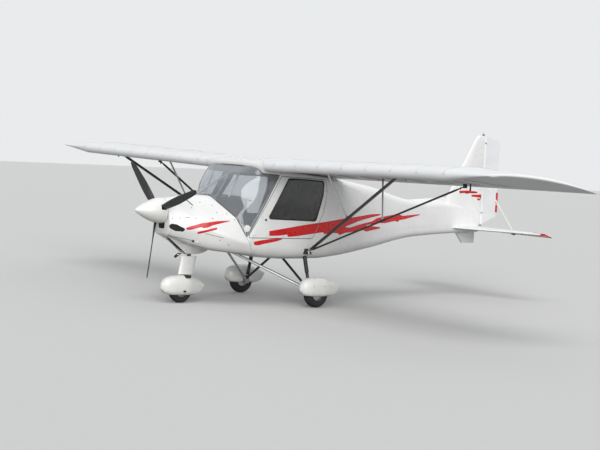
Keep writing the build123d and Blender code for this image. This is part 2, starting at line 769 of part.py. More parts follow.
# Nose leg: the tube, crown, fork and axle turn together in the bearing
with BuildPart() as nose_fork:
    add(rod(steering(330), steering(798), LEG_R))
    add(block((2290, -80, 308), (2368, 80, 344)))
    for side in (-1, 1):
        add(rod((2330, side * 72, 330), (NOSE_WHEEL_X, side * 72, NOSE_R), 8))
    add(rod((NOSE_WHEEL_X, -124, NOSE_R), (NOSE_WHEEL_X, 124, NOSE_R), NOSE_AXLE_R))
keep(nose_fork.part, "nose_fork")

with BuildPart() as nose_leg_fairing:
    with BuildSketch(Plane.XY.offset(575)):
        with Locations((2285, 0)):
            Ellipse(112, 34)
    with BuildSketch(Plane.XY.offset(352)):
        with Locations((2322, 0)):
            Ellipse(112, 34)
    loft(ruled=True)
    add(nose_fork.part, mode=Mode.SUBTRACT)
keep(nose_leg_fairing.part, "nose_leg_fairing")

with BuildPart() as nose_pant:
    add(wheel_pant(NOSE_PANT, NOSE_WHEEL_X, NOSE_R, 170, 84))
    add(nose_fork.part, mode=Mode.SUBTRACT)
    add(nose_leg_fairing.part, mode=Mode.SUBTRACT)
keep(nose_pant.part, "nose_pant")
nose_place = Location((NOSE_WHEEL_X, 0, NOSE_R))
keep(tyre_solid(NOSE_R, NOSE_WIDTH).moved(nose_place), "nose_tyre")
keep(rim_solid(80, NOSE_AXLE_R + PIN_FIT).moved(nose_place), "nose_rim")

# Fin, rudder and ventral fin
rudder_ends = [(RUDDER_AXIS_X, 0, 1022), (RUDDER_AXIS_X, 0, 2290)]
rudder_frames = [hinge_frame(*rudder_ends, z, 2, (1, 0, 0)) for z in RUDDER_HINGES]


def fin_outline(x_lead, x_rear, thick, thick_rear):
    """A fin or tailplane profile: thickest a third of the way back."""
    chord = x_lead - x_rear
    return [
        (x_lead, 0),
        (x_lead - 0.05 * chord, thick * 0.3),
        (x_lead - 0.3 * chord, thick / 2),
        (x_rear, thick_rear / 2),
        (x_rear, -thick_rear / 2),
        (x_lead - 0.3 * chord, -thick / 2),
        (x_lead - 0.05 * chord, -thick * 0.3),
    ]


with BuildPart() as fin:
    for (x_lead, z), thick in ((FIN_LE_LOW, 84), (FIN_LE_HIGH, 40)):
        with BuildSketch(Plane.XY.offset(z)):
            Polygon(*fin_outline(x_lead, FIN_REAR_X, thick, 34), align=None)
    loft(ruled=True)
    add(side_prism([(-1230, 1335), (-2085, 1392), (-2200, 1300), (-1700, 1240)], -22, 22))
    add(tail_outer, mode=Mode.SUBTRACT)
    add(hinge_carriers(rudder_frames, RUDDER_NOSE_R, 30, 9))
keep(fin.part, "fin")

with BuildPart() as rudder:
    with BuildSketch(Plane.XY.offset(1022)):
        with BuildLine():
            Polyline(
                (RUDDER_AXIS_X, RUDDER_NOSE_R),
                (RUDDER_TE_X, 3),
                (RUDDER_TE_X, -3),
                (RUDDER_AXIS_X, -RUDDER_NOSE_R),
            )
            ThreePointArc(
                (RUDDER_AXIS_X, -RUDDER_NOSE_R),
                (RUDDER_AXIS_X + RUDDER_NOSE_R, 0),
                (RUDDER_AXIS_X, RUDDER_NOSE_R),
            )
        make_face()
    extrude(amount=1268)
    rudder_side = [(-2770, 1010), (RUDDER_TE_X, 1132), (RUDDER_TE_X, 2228), (-3062, 2252), (-2770, 2285)]
    add(side_prism(rudder_side, -60, 60), mode=Mode.INTERSECT)
    add(hinge_notches(rudder_frames, RUDDER_NOSE_R, 20), mode=Mode.SUBTRACT)
keep(rudder.part, "rudder")

with BuildPart() as ventral_fin:
    add(side_prism([(-2275, 915), (-2430, 742), (-2668, 740), (-2668, 925)], -14, 14))
    add(tail_outer, mode=Mode.SUBTRACT)
    add(rod((-2640, -30, 770), (-2640, 30, 770), 8), mode=Mode.SUBTRACT)
keep(ventral_fin.part, "ventral_fin")

with BuildPart() as beacon:
    add(rod((-2748, 0, 2303), (-2748, 0, 2352), 20))
    fillet(beacon.edges().group_by(Axis.Z)[-1], 12)
keep(beacon.part, "beacon")

# Tailplane and elevator
elevator_ends = [(ELEVATOR_AXIS_X, ELEVATOR_ROOT_Y, TAIL_PLANE_Z), (ELEVATOR_AXIS_X, 1282, TAIL_PLANE_Z)]
elevator_frames = [hinge_frame(*elevator_ends, y, 1, (1, 0, 0)) for y in ELEVATOR_HINGES]
with BuildPart() as half_tailplane:
    for y, x_lead, thick in ((20, -2058, 46), (1240, -2662, 26)):
        with BuildSketch(Plane.XZ.offset(-y)):
            with Locations((0, TAIL_PLANE_Z)):
                Polygon(*fin_outline(x_lead, TAIL_REAR_X, thick, 28 if y < 1000 else 22), align=None)
    loft(ruled=True)
    add(tail_outer, mode=Mode.SUBTRACT)
    add(hinge_carriers(elevator_frames, ELEVATOR_NOSE_R, 24, 8))
with BuildPart() as tailplane:
    add(half_tailplane.part)
    add(mirrored(half_tailplane.part))
keep(tailplane.part, "tailplane")

elevator_axis = Axis((ELEVATOR_AXIS_X, 0, TAIL_PLANE_Z), (0, 1, 0))
with BuildPart() as half_elevator:
    with BuildSketch(Plane.XZ.offset(-ELEVATOR_ROOT_Y)):
        with BuildLine():
            Polyline(
                (ELEVATOR_AXIS_X, TAIL_PLANE_Z + ELEVATOR_NOSE_R),
                (ELEVATOR_TE_X, TAIL_PLANE_Z + 3),
                (ELEVATOR_TE_X, TAIL_PLANE_Z - 3),
                (ELEVATOR_AXIS_X, TAIL_PLANE_Z - ELEVATOR_NOSE_R),
            )
            ThreePointArc(
                (ELEVATOR_AXIS_X, TAIL_PLANE_Z - ELEVATOR_NOSE_R),
                (ELEVATOR_AXIS_X + ELEVATOR_NOSE_R, TAIL_PLANE_Z),
                (ELEVATOR_AXIS_X, TAIL_PLANE_Z + ELEVATOR_NOSE_R),
            )
        make_face()
    extrude(amount=-(TAIL_HALF_SPAN - ELEVATOR_ROOT_Y))
    add(hinge_notches(elevator_frames, ELEVATOR_NOSE_R, 20), mode=Mode.SUBTRACT)
with BuildPart() as elevator:
    add(half_elevator.part)
    add(mirrored(half_elevator.part))
    add(rod((ELEVATOR_AXIS_X, -130, TAIL_PLANE_Z), (ELEVATOR_AXIS_X, 130, TAIL_PLANE_Z), 11))
keep(elevator.part.rotate(elevator_axis, -ELEVATOR_DROOP), "elevator")

with BuildPart() as tail_brace:
    add(streamlined((-2735, 8, 1750), (-2592, 862, 955), 28, 18))
    add(fin.part, mode=Mode.SUBTRACT)
    add(tailplane.part, mode=Mode.SUBTRACT)
brace = max(tail_brace.part.solids(), key=lambda solid: solid.volume)
pair(brace, "tail_braces")

with BuildPart() as antenna:
    add(rod((480, 0, 1660), (480, 0, 1907), 3))
    add(wing_centre.part, mode=Mode.SUBTRACT)
keep(antenna.part, "antenna")

# Cabin: frame tubes, bench, two seats and the stick between them
with BuildPart() as cabin_frame:
    for side in (-1, 1):
        add(rod((1585, side * 45, 1710), (1982, side * 340, 1318), 13))
        add(rod((1325, side * 548, 1668), (1785, side * 520, 905), 13))
        add(rod((1785, side * 520, 905), (1785, side * 520, 640), 13))
        with Locations((1785, side * 520, 905)):
            Sphere(13)
    add(hull_inner, mode=Mode.INTERSECT)
    add(dash.part, mode=Mode.SUBTRACT)
keep(cabin_frame.part, "cabin_frame")

with BuildPart() as seat_bench:
    add(hull_inner)
    add(block((745, -520, 560), (1180, 520, 800)), mode=Mode.INTERSECT)
keep(seat_bench.part, "seat_bench")

SEAT_SIDE = [(1235, 905), (1225, 800), (760, 800), (600, 1420), (690, 1445), (850, 905)]
with BuildPart() as seat:
    add(side_prism(SEAT_SIDE, 60, 510))
    fillet(seat.edges().filter_by(Axis.Y), 28)
pair(seat.part, "seats")

with BuildPart() as control_stick:
    add(rod((1330, 0, 600), (1350, 0, 1010), 11))
    add(rod((1350, 0, 1010), (1340, 0, 1120), 18))
    add(hull_inner, mode=Mode.INTERSECT)
keep(control_stick.part, "control_stick")
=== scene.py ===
"""High-wing, two-seat ultralight aircraft on three faired wheels.

Metres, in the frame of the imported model: +X to the nose, +Y to the left wing tip and +Z up.
"""

from math import acos, atan2, cos, exp, hypot, pi, radians, sin, sqrt, tan

import bmesh
import bpy
import numpy as np
from mathutils import Matrix, Vector


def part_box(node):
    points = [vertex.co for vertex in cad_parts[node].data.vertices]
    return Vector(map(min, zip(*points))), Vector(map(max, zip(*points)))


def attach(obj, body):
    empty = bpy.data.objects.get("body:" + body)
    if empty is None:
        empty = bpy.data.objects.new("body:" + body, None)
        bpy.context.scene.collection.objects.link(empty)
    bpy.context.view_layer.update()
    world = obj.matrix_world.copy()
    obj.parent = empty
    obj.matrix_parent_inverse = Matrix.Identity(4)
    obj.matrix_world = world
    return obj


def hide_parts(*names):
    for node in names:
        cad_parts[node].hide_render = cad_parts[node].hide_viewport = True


bl_info = {
    "name": "Ultralight aircraft",
    "version": (1, 0, 0),
    "blender": (4, 5, 0),
    "location": "View3D > Sidebar > Aircraft",
    "description": "Dresses the packed model of a high-wing ultralight aircraft",
    "category": "Object",
}

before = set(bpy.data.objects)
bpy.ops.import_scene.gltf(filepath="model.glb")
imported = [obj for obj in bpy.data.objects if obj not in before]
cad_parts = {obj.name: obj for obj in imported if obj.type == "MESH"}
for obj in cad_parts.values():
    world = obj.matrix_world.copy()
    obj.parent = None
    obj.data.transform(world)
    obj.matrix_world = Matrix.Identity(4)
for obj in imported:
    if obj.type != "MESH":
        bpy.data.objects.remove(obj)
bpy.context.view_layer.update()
SIDES = (("left", 1), ("right", -1))

# Camera: its place, the way it looks, and its lens on a 36 mm sensor
CAMERA_PLACE = (12.090, 14.460, 2.057)
CAMERA_YAW = radians(231.43)
CAMERA_PITCH = radians(-3.35)
CAMERA_ROLL = radians(3.26)
CAMERA_LENS = 84.8

# Fuselage: the windscreen's foot lies in a plane that leans forward
FOOT_X = 1.842
FOOT_Z = 0.856
FOOT_LEAN = 0.528
SIDE_BULGE = 0.012
ROOF_GAP = 0.004
HOOD_X = 1.690
COWL_FACE_X = 2.690
SHELL_REAR_X = 0.330
TAIL_END_X = -2.705
PATCH_STEP = 0.006
PROP_Z = 1.135
PROP_X = 2.778
BLADE_TURN = 169

# Wing section and plan
WING_LE_X = 1.672
WING_TE_X = 0.350
WING_FULL_Y = 3.760
CENTRE_HALF = 0.400
DIHEDRAL = tan(radians(1))
TIP_LE = (1.655, 4.385)
TIP_TE = (0.350, 4.725)
TIP_THIN = 0.22
SURFACE_AXIS_X = 0.620
SURFACE_HALF = 0.0512
COVE_R = 0.0572
# Flaps and ailerons: y of both ends, thickness left at the outer end, y of the hinges
TRAILING = {
    "flap": (0.640, 2.440, 1.0, (0.80, 1.54, 2.28)),
    "aileron": (2.470, 4.290, 0.56, (2.62, 3.18, 3.70)),
}

# Tail: the fin's height, leading edge and thickness at its foot and top, and the hinge lines
FIN_Z = (1.020, 2.303)
FIN_LEAD_X = (-1.860, -2.618)
FIN_THICK = (0.084, 0.040)
FIN_REAR_X = -2.772
FIN_REAR_THICK = 0.034
RUDDER_AXIS_X = -2.795
RUDDER_Z = (1.012, 2.283)
RUDDER_CHORD = 0.305
RUDDER_HINGES = (1.180, 1.700, 2.190)
TAIL_RIB_SPACING = 0.245
TAIL_Z = 0.968
ELEVATOR_AXIS_X = -2.742
ELEVATOR_Y = (0.112, 1.290)
ELEVATOR_HINGES = (0.240, 0.700, 1.130)
ELEVATOR_DROOP = 14
NOTCH_HALF = 0.011
THICKEST = 0.3

# Wheels
MAIN_AXLE = (0.885, 0.800, 0.165)
NOSE_AXLE = (2.392, 0, 0.150)


def per_mm(size):
    """The scale of a texture whose features are this many millimetres across."""
    return 1000 / size


def srgb(code):
    """Linear colour of an sRGB hex code."""
    parts = [int(code[i : i + 2], 16) / 255 for i in (0, 2, 4)]
    return tuple(c / 12.92 if c <= 0.04045 else ((c + 0.055) / 1.055) ** 2.4 for c in parts) + (1.0,)


def add_node(tree, kind, links=(), values=(), **settings):
    """A node with its settings, the values of its inputs and the outputs that feed them."""
    node = tree.nodes.new(kind)
    for key, value in settings.items():
        setattr(node, key, value)
    for socket, value in dict(values).items():
        node.inputs[socket].default_value = value
    for socket, source in dict(links).items():
        tree.links.new(source, node.inputs[socket])
    return node


# Meshes
def unit(vector):
    """The vector at length 1."""
    return vector / np.linalg.norm(vector)


def monotone(keys, rows, where):
    """Rows of values carried smoothly between their keys, without overshoot, at the places asked for."""
    keys, rows, where = np.asarray(keys, float), np.asarray(rows, float), np.asarray(where, float)
    if keys[0] > keys[-1]:
        keys, rows = keys[::-1], rows[::-1]
    step = np.diff(keys)[:, None]
    slope = np.diff(rows, axis=0) / step
    bend = np.zeros_like(rows)
    product = slope[:-1] * slope[1:]
    weight_a, weight_b = 2 * step[1:] + step[:-1], step[1:] + 2 * step[:-1]
    with np.errstate(divide="ignore", invalid="ignore"):
        mean = (weight_a + weight_b) / (weight_a / slope[:-1] + weight_b / slope[1:])
    bend[1:-1] = np.where(product > 0, mean, 0)
    bend[0], bend[-1] = slope[0], slope[-1]
    index = np.clip(np.searchsorted(keys, where, side="right") - 1, 0, len(keys) - 2)
    width = step[index]
    t = ((where - keys[index]) / width[:, 0])[:, None]
    low, high = rows[index], rows[index + 1]
    return (
        low * (1 + 2 * t) * (1 - t) ** 2
        + bend[index] * width * t * (1 - t) ** 2
        + high * t**2 * (3 - 2 * t)
        + bend[index + 1] * width * t**2 * (t - 1)
    )


def arc_points(a, middle, b, count):
    """Points of the circular arc from a to b through a middle point, in the plane."""
    (ax, ay), (mx, my), (bx, by) = a, middle, b
    cross = 2 * (ax * (my - by) + mx * (by - ay) + bx * (ay - my))
    sa, sm, sb = ax * ax + ay * ay, mx * mx + my * my, bx * bx + by * by
    cx = (sa * (my - by) + sm * (by - ay) + sb * (ay - my)) / cross
    cy = (sa * (bx - mx) + sm * (ax - bx) + sb * (mx - ax)) / cross
    start, mid, end = (atan2(y - cy, x - cx) for x, y in (a, middle, b))
    turn = (end - start) % (2 * pi)
    if (mid - start) % (2 * pi) > turn:
        turn -= 2 * pi
    radius = hypot(ax - cx, ay - cy)
    angles = start + turn * np.linspace(0, 1, count)
    return np.stack([cx + radius * np.cos(angles), cy + radius * np.sin(angles)], axis=1)


def fillet(before, corner, after, radius, count=9):
    """Points of the arc that rounds a corner of a polyline."""
    u, v = unit(before - corner), unit(after - corner)
    half = acos(float(np.clip(u @ v, -1, 1))) / 2
    room = 0.48 * min(np.linalg.norm(before - corner), np.linalg.norm(after - corner))
    reach = min(radius / tan(half), room)
    radius = reach * tan(half)
    centre = corner + unit(u + v) * radius / sin(half)
    a, b = corner + u * reach - centre, corner + v * reach - centre
    turn = atan2(a[0] * b[1] - a[1] * b[0], a @ b)
    angles = turn * np.linspace(0, 1, count)[:, None]
    side = np.array([-a[1], a[0]])
    return centre + a * np.cos(angles) + side * np.sin(angles)


def rounded(points, radii):
    """A closed outline with rounded corners."""
    points = np.asarray(points, float)
    if np.isscalar(radii):
        radii = [radii] * len(points)
    arcs = [
        fillet(points[i - 1], points[i], points[(i + 1) % len(points)], radius)
        for i, radius in enumerate(radii)
    ]
    return np.concatenate(arcs)


def outline_distance(points, outline):
    """How far points of the plane lie inside a closed outline; outside is negative."""
    a = outline
    b = np.roll(outline, -1, axis=0)
    edge = b - a
    to = points[:, None, :] - a[None]
    share = np.clip((to * edge).sum(2) / np.maximum((edge * edge).sum(1), 1e-12), 0, 1)
    gap = np.sqrt(((to - share[..., None] * edge) ** 2).sum(2)).min(1)
    above = a[:, 1] > points[:, None, 1]
    crosses = above != (b[:, 1] > points[:, None, 1])
    with np.errstate(divide="ignore", invalid="ignore"):
        x_cross = a[:, 0] + (points[:, None, 1] - a[:, 1]) * edge[:, 0] / edge[:, 1]
    inside = (crosses & (points[:, None, 0] < x_cross)).sum(1) % 2 == 1
    return np.where(inside, gap, -gap)


def places(mesh):
    """The vertices of a bmesh as an array."""
    return np.array([v.co[:] for v in mesh.verts])


def clip(mesh, inside):
    """Cut a bmesh along the line where inside(points) changes sign, and drop what is outside."""
    mesh.verts.ensure_lookup_table()
    mesh.verts.index_update()
    values = inside(places(mesh))
    values[np.abs(values) < 2e-4] = 2e-4
    cut = [e for e in mesh.edges if (values[e.verts[0].index] > 0) != (values[e.verts[1].index] > 0)]
    pairs = [(e.verts[0], values[e.verts[0].index], values[e.verts[1].index]) for e in cut]
    dropped = [v for v in mesh.verts if values[v.index] <= 0]
    fresh = set()
    for edge, (start, low, high) in zip(cut, pairs):
        fresh.add(bmesh.utils.edge_split(edge, start, low / (low - high))[1])
    for face in list(mesh.faces):
        marks = [v for v in face.verts if v in fresh]
        if len(marks) == 2:
            bmesh.utils.face_split(face, marks[0], marks[1])
    bmesh.ops.delete(mesh, geom=dropped, context="VERTS")
    return mesh


def side_view(outline, grow=0.0):
    """A test for clip: inside a side-view outline, grown by this much."""
    return lambda points: outline_distance(points[:, [0, 2]], outline) + grow


def outside(test):
    """The opposite of a test for clip."""
    return lambda points: -test(points)


def sheet_mesh(grid, wrap=False):
    """A bmesh of quads over a grid of points; wrap joins its last column to the first."""
    mesh = bmesh.new()
    verts = [[mesh.verts.new(point) for point in row] for row in grid]
    columns = len(grid[0])
    for low, high in zip(verts, verts[1:]):
        for j in range(columns if wrap else columns - 1):
            k = (j + 1) % columns
            mesh.faces.new((low[j], low[k], high[k], high[j]))
    return mesh


def loft_mesh(rings):
    """A closed skin with flat ends over rings of equal count."""
    mesh = sheet_mesh(rings, wrap=True)
    mesh.verts.ensure_lookup_table()
    count = len(rings[0])
    mesh.faces.new(mesh.verts[:count])
    mesh.faces.new(mesh.verts[-count:])
    bmesh.ops.remove_doubles(mesh, verts=mesh.verts, dist=1e-6)
    bmesh.ops.recalc_face_normals(mesh, faces=mesh.faces)
    return mesh


def turned_mesh(profile, centre, axis, steps=64):
    """A closed profile of (along, radius) turned about an axis."""
    axis = unit(np.asarray(axis, float))
    helper = np.array([0, 0, 1.0]) if abs(axis[2]) < 0.9 else np.array([1.0, 0, 0])
    u = unit(np.cross(helper, axis))
    v = np.cross(axis, u)
    profile = np.asarray(profile, float)
    rows = []
    for angle in np.arange(steps) * 2 * pi / steps:
        out = u * cos(angle) + v * sin(angle)
        rows.append(np.asarray(centre) + profile[:, :1] * axis + profile[:, 1:] * out)
    mesh = sheet_mesh(rows + rows[:1], wrap=True)
    bmesh.ops.remove_doubles(mesh, verts=mesh.verts, dist=1e-6)
    bmesh.ops.recalc_face_normals(mesh, faces=mesh.faces)
    return mesh


def box_mesh(low, high, mesh=None):
    """A box between two corners, added to a bmesh."""
    mesh = mesh or bmesh.new()
    size = [b - a for a, b in zip(low, high)]
    middle = [(a + b) / 2 for a, b in zip(low, high)]
    matrix = Matrix.Translation(middle) @ Matrix.Diagonal((*size, 1))
    bmesh.ops.create_cube(mesh, size=1, matrix=matrix)
    return mesh


def tube_mesh(start, end, radius, mesh=None, steps=20):
    """A round bar between two points, added to a bmesh."""
    mesh = mesh or bmesh.new()
    a, b = Vector(start), Vector(end)
    turn = (b - a).to_track_quat("Z", "Y").to_matrix().to_4x4()
    bmesh.ops.create_cone(
        mesh, cap_ends=True, segments=steps, radius1=radius, radius2=radius, depth=(b - a).length,
        matrix=Matrix.Translation((a + b) / 2) @ turn)
    return mesh


def mirrored(mesh):
    """The same bmesh on the other side of the aircraft."""
    other = mesh.copy()
    bmesh.ops.scale(other, vec=(1, -1, 1), verts=other.verts)
    bmesh.ops.reverse_faces(other, faces=other.faces)
    return other


def join_into(mesh, other):
    """Add the faces of another bmesh, which is then freed."""
    data = bpy.data.meshes.new("joined")
    other.to_mesh(data)
    mesh.from_mesh(data)
    bpy.data.meshes.remove(data)
    other.free()


def with_mirror(mesh):
    """A bmesh of the left side joined by its mirror image."""
    join_into(mesh, mirrored(mesh))
    return mesh


def facing(mesh, direction):
    """Turn an open sheet over if its middle face looks away from a direction."""
    mesh.normal_update()
    mesh.faces.ensure_lookup_table()
    if mesh.faces[len(mesh.faces) // 2].normal.dot(Vector(direction)) < 0:
        bmesh.ops.reverse_faces(mesh, faces=mesh.faces)
    return mesh


def face_out(mesh, centre_z):
    """Turn an open skin's faces away from the fuselage's middle line."""
    mesh.normal_update()
    wrong = [
        f for f in mesh.faces
        if f.normal.dot(Vector((0, f.calc_center_median().y, f.calc_center_median().z - centre_z))) < 0
    ]
    if len(wrong) > len(mesh.faces) / 2:
        bmesh.ops.reverse_faces(mesh, faces=mesh.faces)
    return mesh


def placed(name, data):
    """A new object of the scene at the origin."""
    obj = bpy.data.objects.new(name, data)
    bpy.context.scene.collection.objects.link(obj)
    return obj


def piece(name, mesh, material, replaced=(), body="airframe", slot=None, wall=0.0, soften=0.0, offset=-1.0,
          lining=None):
    """An object of the scene: a bmesh with its wall, its softened edges, its body and its finish."""
    mesh.normal_update()
    data = bpy.data.meshes.new(name)
    mesh.to_mesh(data)
    mesh.free()
    obj = placed(name, data)
    data.shade_smooth()
    data.set_sharp_from_angle(angle=radians(40))
    data.materials.append(FINISHES[material])
    if wall:
        solid = obj.modifiers.new("wall", "SOLIDIFY")
        solid.thickness = wall
        solid.offset = offset
        if lining:
            data.materials.append(FINISHES[lining])
            solid.material_offset = 1
    if soften:
        bevel = obj.modifiers.new("soft edge", "BEVEL")
        bevel.width = soften
        bevel.segments = 2
        bevel.limit_method = "ANGLE"
        bevel.angle_limit = radians(35)
        bevel.harden_normals = True
    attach(obj, body)
    if replaced:
        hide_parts(*replaced)
    return obj


def both_sides(name, mesh, material, replaced=(), body="airframe", **form):
    """A left piece and its mirror image; braces in a name stand for the side."""
    made = []
    for side_name, side in SIDES:
        copy = mesh.copy() if side > 0 else mirrored(mesh)
        nodes = [node.format(side_name) for node in replaced]
        made.append(piece(name.format(side_name), copy, material, nodes, body.format(side_name), **form))
    mesh.free()
    return made


def finish_node(node, material):
    """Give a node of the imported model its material."""
    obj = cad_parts[node]
    obj.data.materials.clear()
    obj.data.materials.append(FINISHES[material])


# Fuselage skin
def wing_floor(x):
    """Height of the wing's flat underside at x, before dihedral."""
    return 1.612 + (x - WING_TE_X) * 0.100 / 1.190


def under_wing(x):
    """Height of the cabin's roof below the wing."""
    return wing_floor(x) - ROOF_GAP


def upright(x, half_low, half_high, z_low, z_high, r_low, r_high):
    """An upright station whose sides bulge a little between its low and its high corner."""
    rise = z_high - z_low
    bulge = SIDE_BULGE * rise
    row = [x, 0, half_low, z_low, r_low]
    for share in (0.3, 0.65):
        row += [half_low + share * (half_high - half_low) + bulge, z_low + share * rise, 0.09]
    return row + [half_high, z_high, r_high]


# Rows: x where z is FOOT_Z, lean, then four corners from the keel up, each half width, z and radius
STATIONS = np.array([
    [2.700, 0, 0.130, 0.842, 0.070, 0.190, 0.930, 0.060, 0.170, 1.055, 0.050, 0.075, 1.288, 0.105],
    [2.590, 0, 0.215, 0.800, 0.110, 0.285, 0.930, 0.110, 0.268, 1.064, 0.060, 0.085, 1.310, 0.160],
    [2.460, 0, 0.290, 0.745, 0.140, 0.365, 0.920, 0.150, 0.338, 1.066, 0.070, 0.095, 1.325, 0.210],
    [2.300, 0, 0.380, 0.694, 0.160, 0.440, 0.910, 0.150, 0.415, 1.070, 0.070, 0.100, 1.338, 0.260],
    [FOOT_X, FOOT_LEAN, 0.560, 0.630, 0.150, 0.603, 0.790, 0.090, 0.508, 1.092, 0.045, 0.110, 1.337, 0.320],
    upright(HOOD_X, 0.595, 0.575, 0.614, 1.728, 0.160, 0.170),
    upright(1.540, 0.600, 0.588, 0.597, 1.712 - ROOF_GAP, 0.160, 0.090),
    upright(1.200, 0.602, 0.590, 0.579, under_wing(1.200), 0.160, 0.050),
    upright(0.700, 0.600, 0.585, 0.583, under_wing(0.700), 0.160, 0.050),
    upright(SHELL_REAR_X, 0.556, 0.535, 0.610, under_wing(SHELL_REAR_X), 0.150, 0.090),
    upright(-0.340, 0.408, 0.380, 0.692, 1.532, 0.130, 0.150),
    upright(-1.210, 0.257, 0.225, 0.838, 1.352, 0.090, 0.120),
    upright(-1.970, 0.147, 0.112, 0.880, 1.312, 0.060, 0.080),
    upright(-2.590, 0.064, 0.046, 0.900, 1.198, 0.034, 0.036),
    upright(TAIL_END_X, 0.045, 0.036, 0.905, 1.040, 0.024, 0.026),
])
SPANS = (8, 9, 14, 16, 8)


def half_section(row):
    """The left half of a station, from the keel to the roof, with its points close together at corners."""
    corners = row[2:].reshape(-1, 3)
    path = np.vstack([[0, corners[0][1]], corners[:, :2], [0, corners[-1][1]]])
    arcs = [path[:1]]
    arcs += [fillet(*path[i : i + 3], corners[i][2]) for i in range(len(corners))]
    arcs.append(path[-1:])
    out = []
    for index, count in enumerate(SPANS):
        low, high = arcs[index], arcs[index + 1]
        run = np.vstack([low[len(low) // 2 :], high[: len(high) // 2 + 1]])
        length = np.concatenate([[0], np.cumsum(np.linalg.norm(np.diff(run, axis=0), axis=1))])
        where = length[-1] * (1 - np.cos(np.linspace(0, pi, count + 1))) / 2
        points = np.stack([np.interp(where, length, run[:, axis]) for axis in (0, 1)], axis=1)
        out.append(points if index == len(SPANS) - 1 else points[:-1])
    return np.vstack(out)


def skin_rows(keys):
    """Station rows at these keys: smooth along the cowl and the tail, ruled from the foot to the hood."""
    rows = monotone(STATIONS[:, 0], STATIONS, keys)
    for index, key in enumerate(keys):
        if HOOD_X < key < FOOT_X:
            share = (key - HOOD_X) / (FOOT_X - HOOD_X)
            rows[index] = STATIONS[5] + share * (STATIONS[4] - STATIONS[5])
    rows[:, 0] = keys
    return rows


def skin_ring(row):
    """The whole closed section of a station row, in space."""
    half = half_section(row)
    loop = np.vstack([half, (half * (-1, 1))[-2:0:-1]])
    x = row[0] + row[1] * (loop[:, 1] - FOOT_Z)
    return np.stack([x, loop[:, 0], loop[:, 1]], axis=1)


def skin(keys):
    """A bmesh of the fuselage's skin over these keys."""
    return face_out(sheet_mesh([skin_ring(row) for row in skin_rows(keys)], wrap=True), 1.0)


def skin_patch(keys, z_low, z_high):
    """A finer bmesh of the left skin between two heights, for film and rubber laid on it."""
    heights = np.arange(z_low, z_high + PATCH_STEP, PATCH_STEP)
    rows = []
    for row in skin_rows(keys):
        half = half_section(row)
        x = row[0] + row[1] * (heights - FOOT_Z)
        rows.append(np.stack([x, np.interp(heights, half[:, 1], half[:, 0]), heights], axis=1))
    return facing(sheet_mesh(rows), (0, 1, 0))


def raised(mesh, lift):
    """Move a patch out along its normals."""
    mesh.normal_update()
    for vert in mesh.verts:
        vert.co += vert.normal * lift
    return mesh


def spaced(start, end, step):
    """Even places from start to end, no further apart than step."""
    return np.linspace(start, end, int(abs(end - start) / step) + 2)


# Finishes
def principled(name, code, rough, metallic=0.0, ior=1.5, **more):
    """A material with one surface shader: its tree, its shader and its Object coordinates."""
    material = bpy.data.materials.new(name)
    material.use_nodes = True
    tree = material.node_tree
    shader = tree.nodes["Principled BSDF"]
    shader.inputs["Base Color"].default_value = srgb(code)
    shader.inputs["Roughness"].default_value = rough
    shader.inputs["Metallic"].default_value = metallic
    shader.inputs["IOR"].default_value = ior
    for socket, value in more.items():
        shader.inputs[socket.replace("_", " ")].default_value = value
    coords = add_node(tree, "ShaderNodeTexCoord").outputs["Object"]
    FINISHES[name] = material
    return tree, shader, coords


def ramp(tree, source, low, high, stops):
    """A colour or grey ramp between two values of its source."""
    node = add_node(tree, "ShaderNodeMapRange", {"Value": source}, {"From Min": low, "From Max": high})
    colours = add_node(tree, "ShaderNodeValToRGB", {"Fac": node.outputs["Result"]})
    colours.color_ramp.elements[0].color = stops[0]
    colours.color_ramp.elements[1].color = stops[1]
    return colours.outputs["Color"]


def grey(value):
    """A grey, already linear."""
    return (value, value, value, 1.0)


def feed(tree, shader, height, relief, strength=1.0, **sources):
    """Give a shader its relief, this deep in metres, and what else its sockets are fed from."""
    lifted = add_node(tree, "ShaderNodeBump", {"Height": height}, {"Distance": relief, "Strength": strength})
    tree.links.new(lifted.outputs["Normal"], shader.inputs["Normal"])
    for socket, source in sources.items():
        tree.links.new(source, shader.inputs[socket.replace("_", " ")])


def plain_finish(name, code, rough, grain_mm, spread, relief, metallic=0.0):
    """A finish whose roughness varies and whose surface has a fine relief of one grain size."""
    tree, shader, coords = principled(name, code, rough, metallic)
    grain = {"Scale": per_mm(grain_mm), "Detail": 2}
    height = add_node(tree, "ShaderNodeTexNoise", {"Vector": coords}, grain).outputs["Fac"]
    worn = ramp(tree, height, 0.35, 0.65, (grey(rough - spread), grey(rough + spread)))
    feed(tree, shader, height, relief, Roughness=worn)


FINISHES = {}

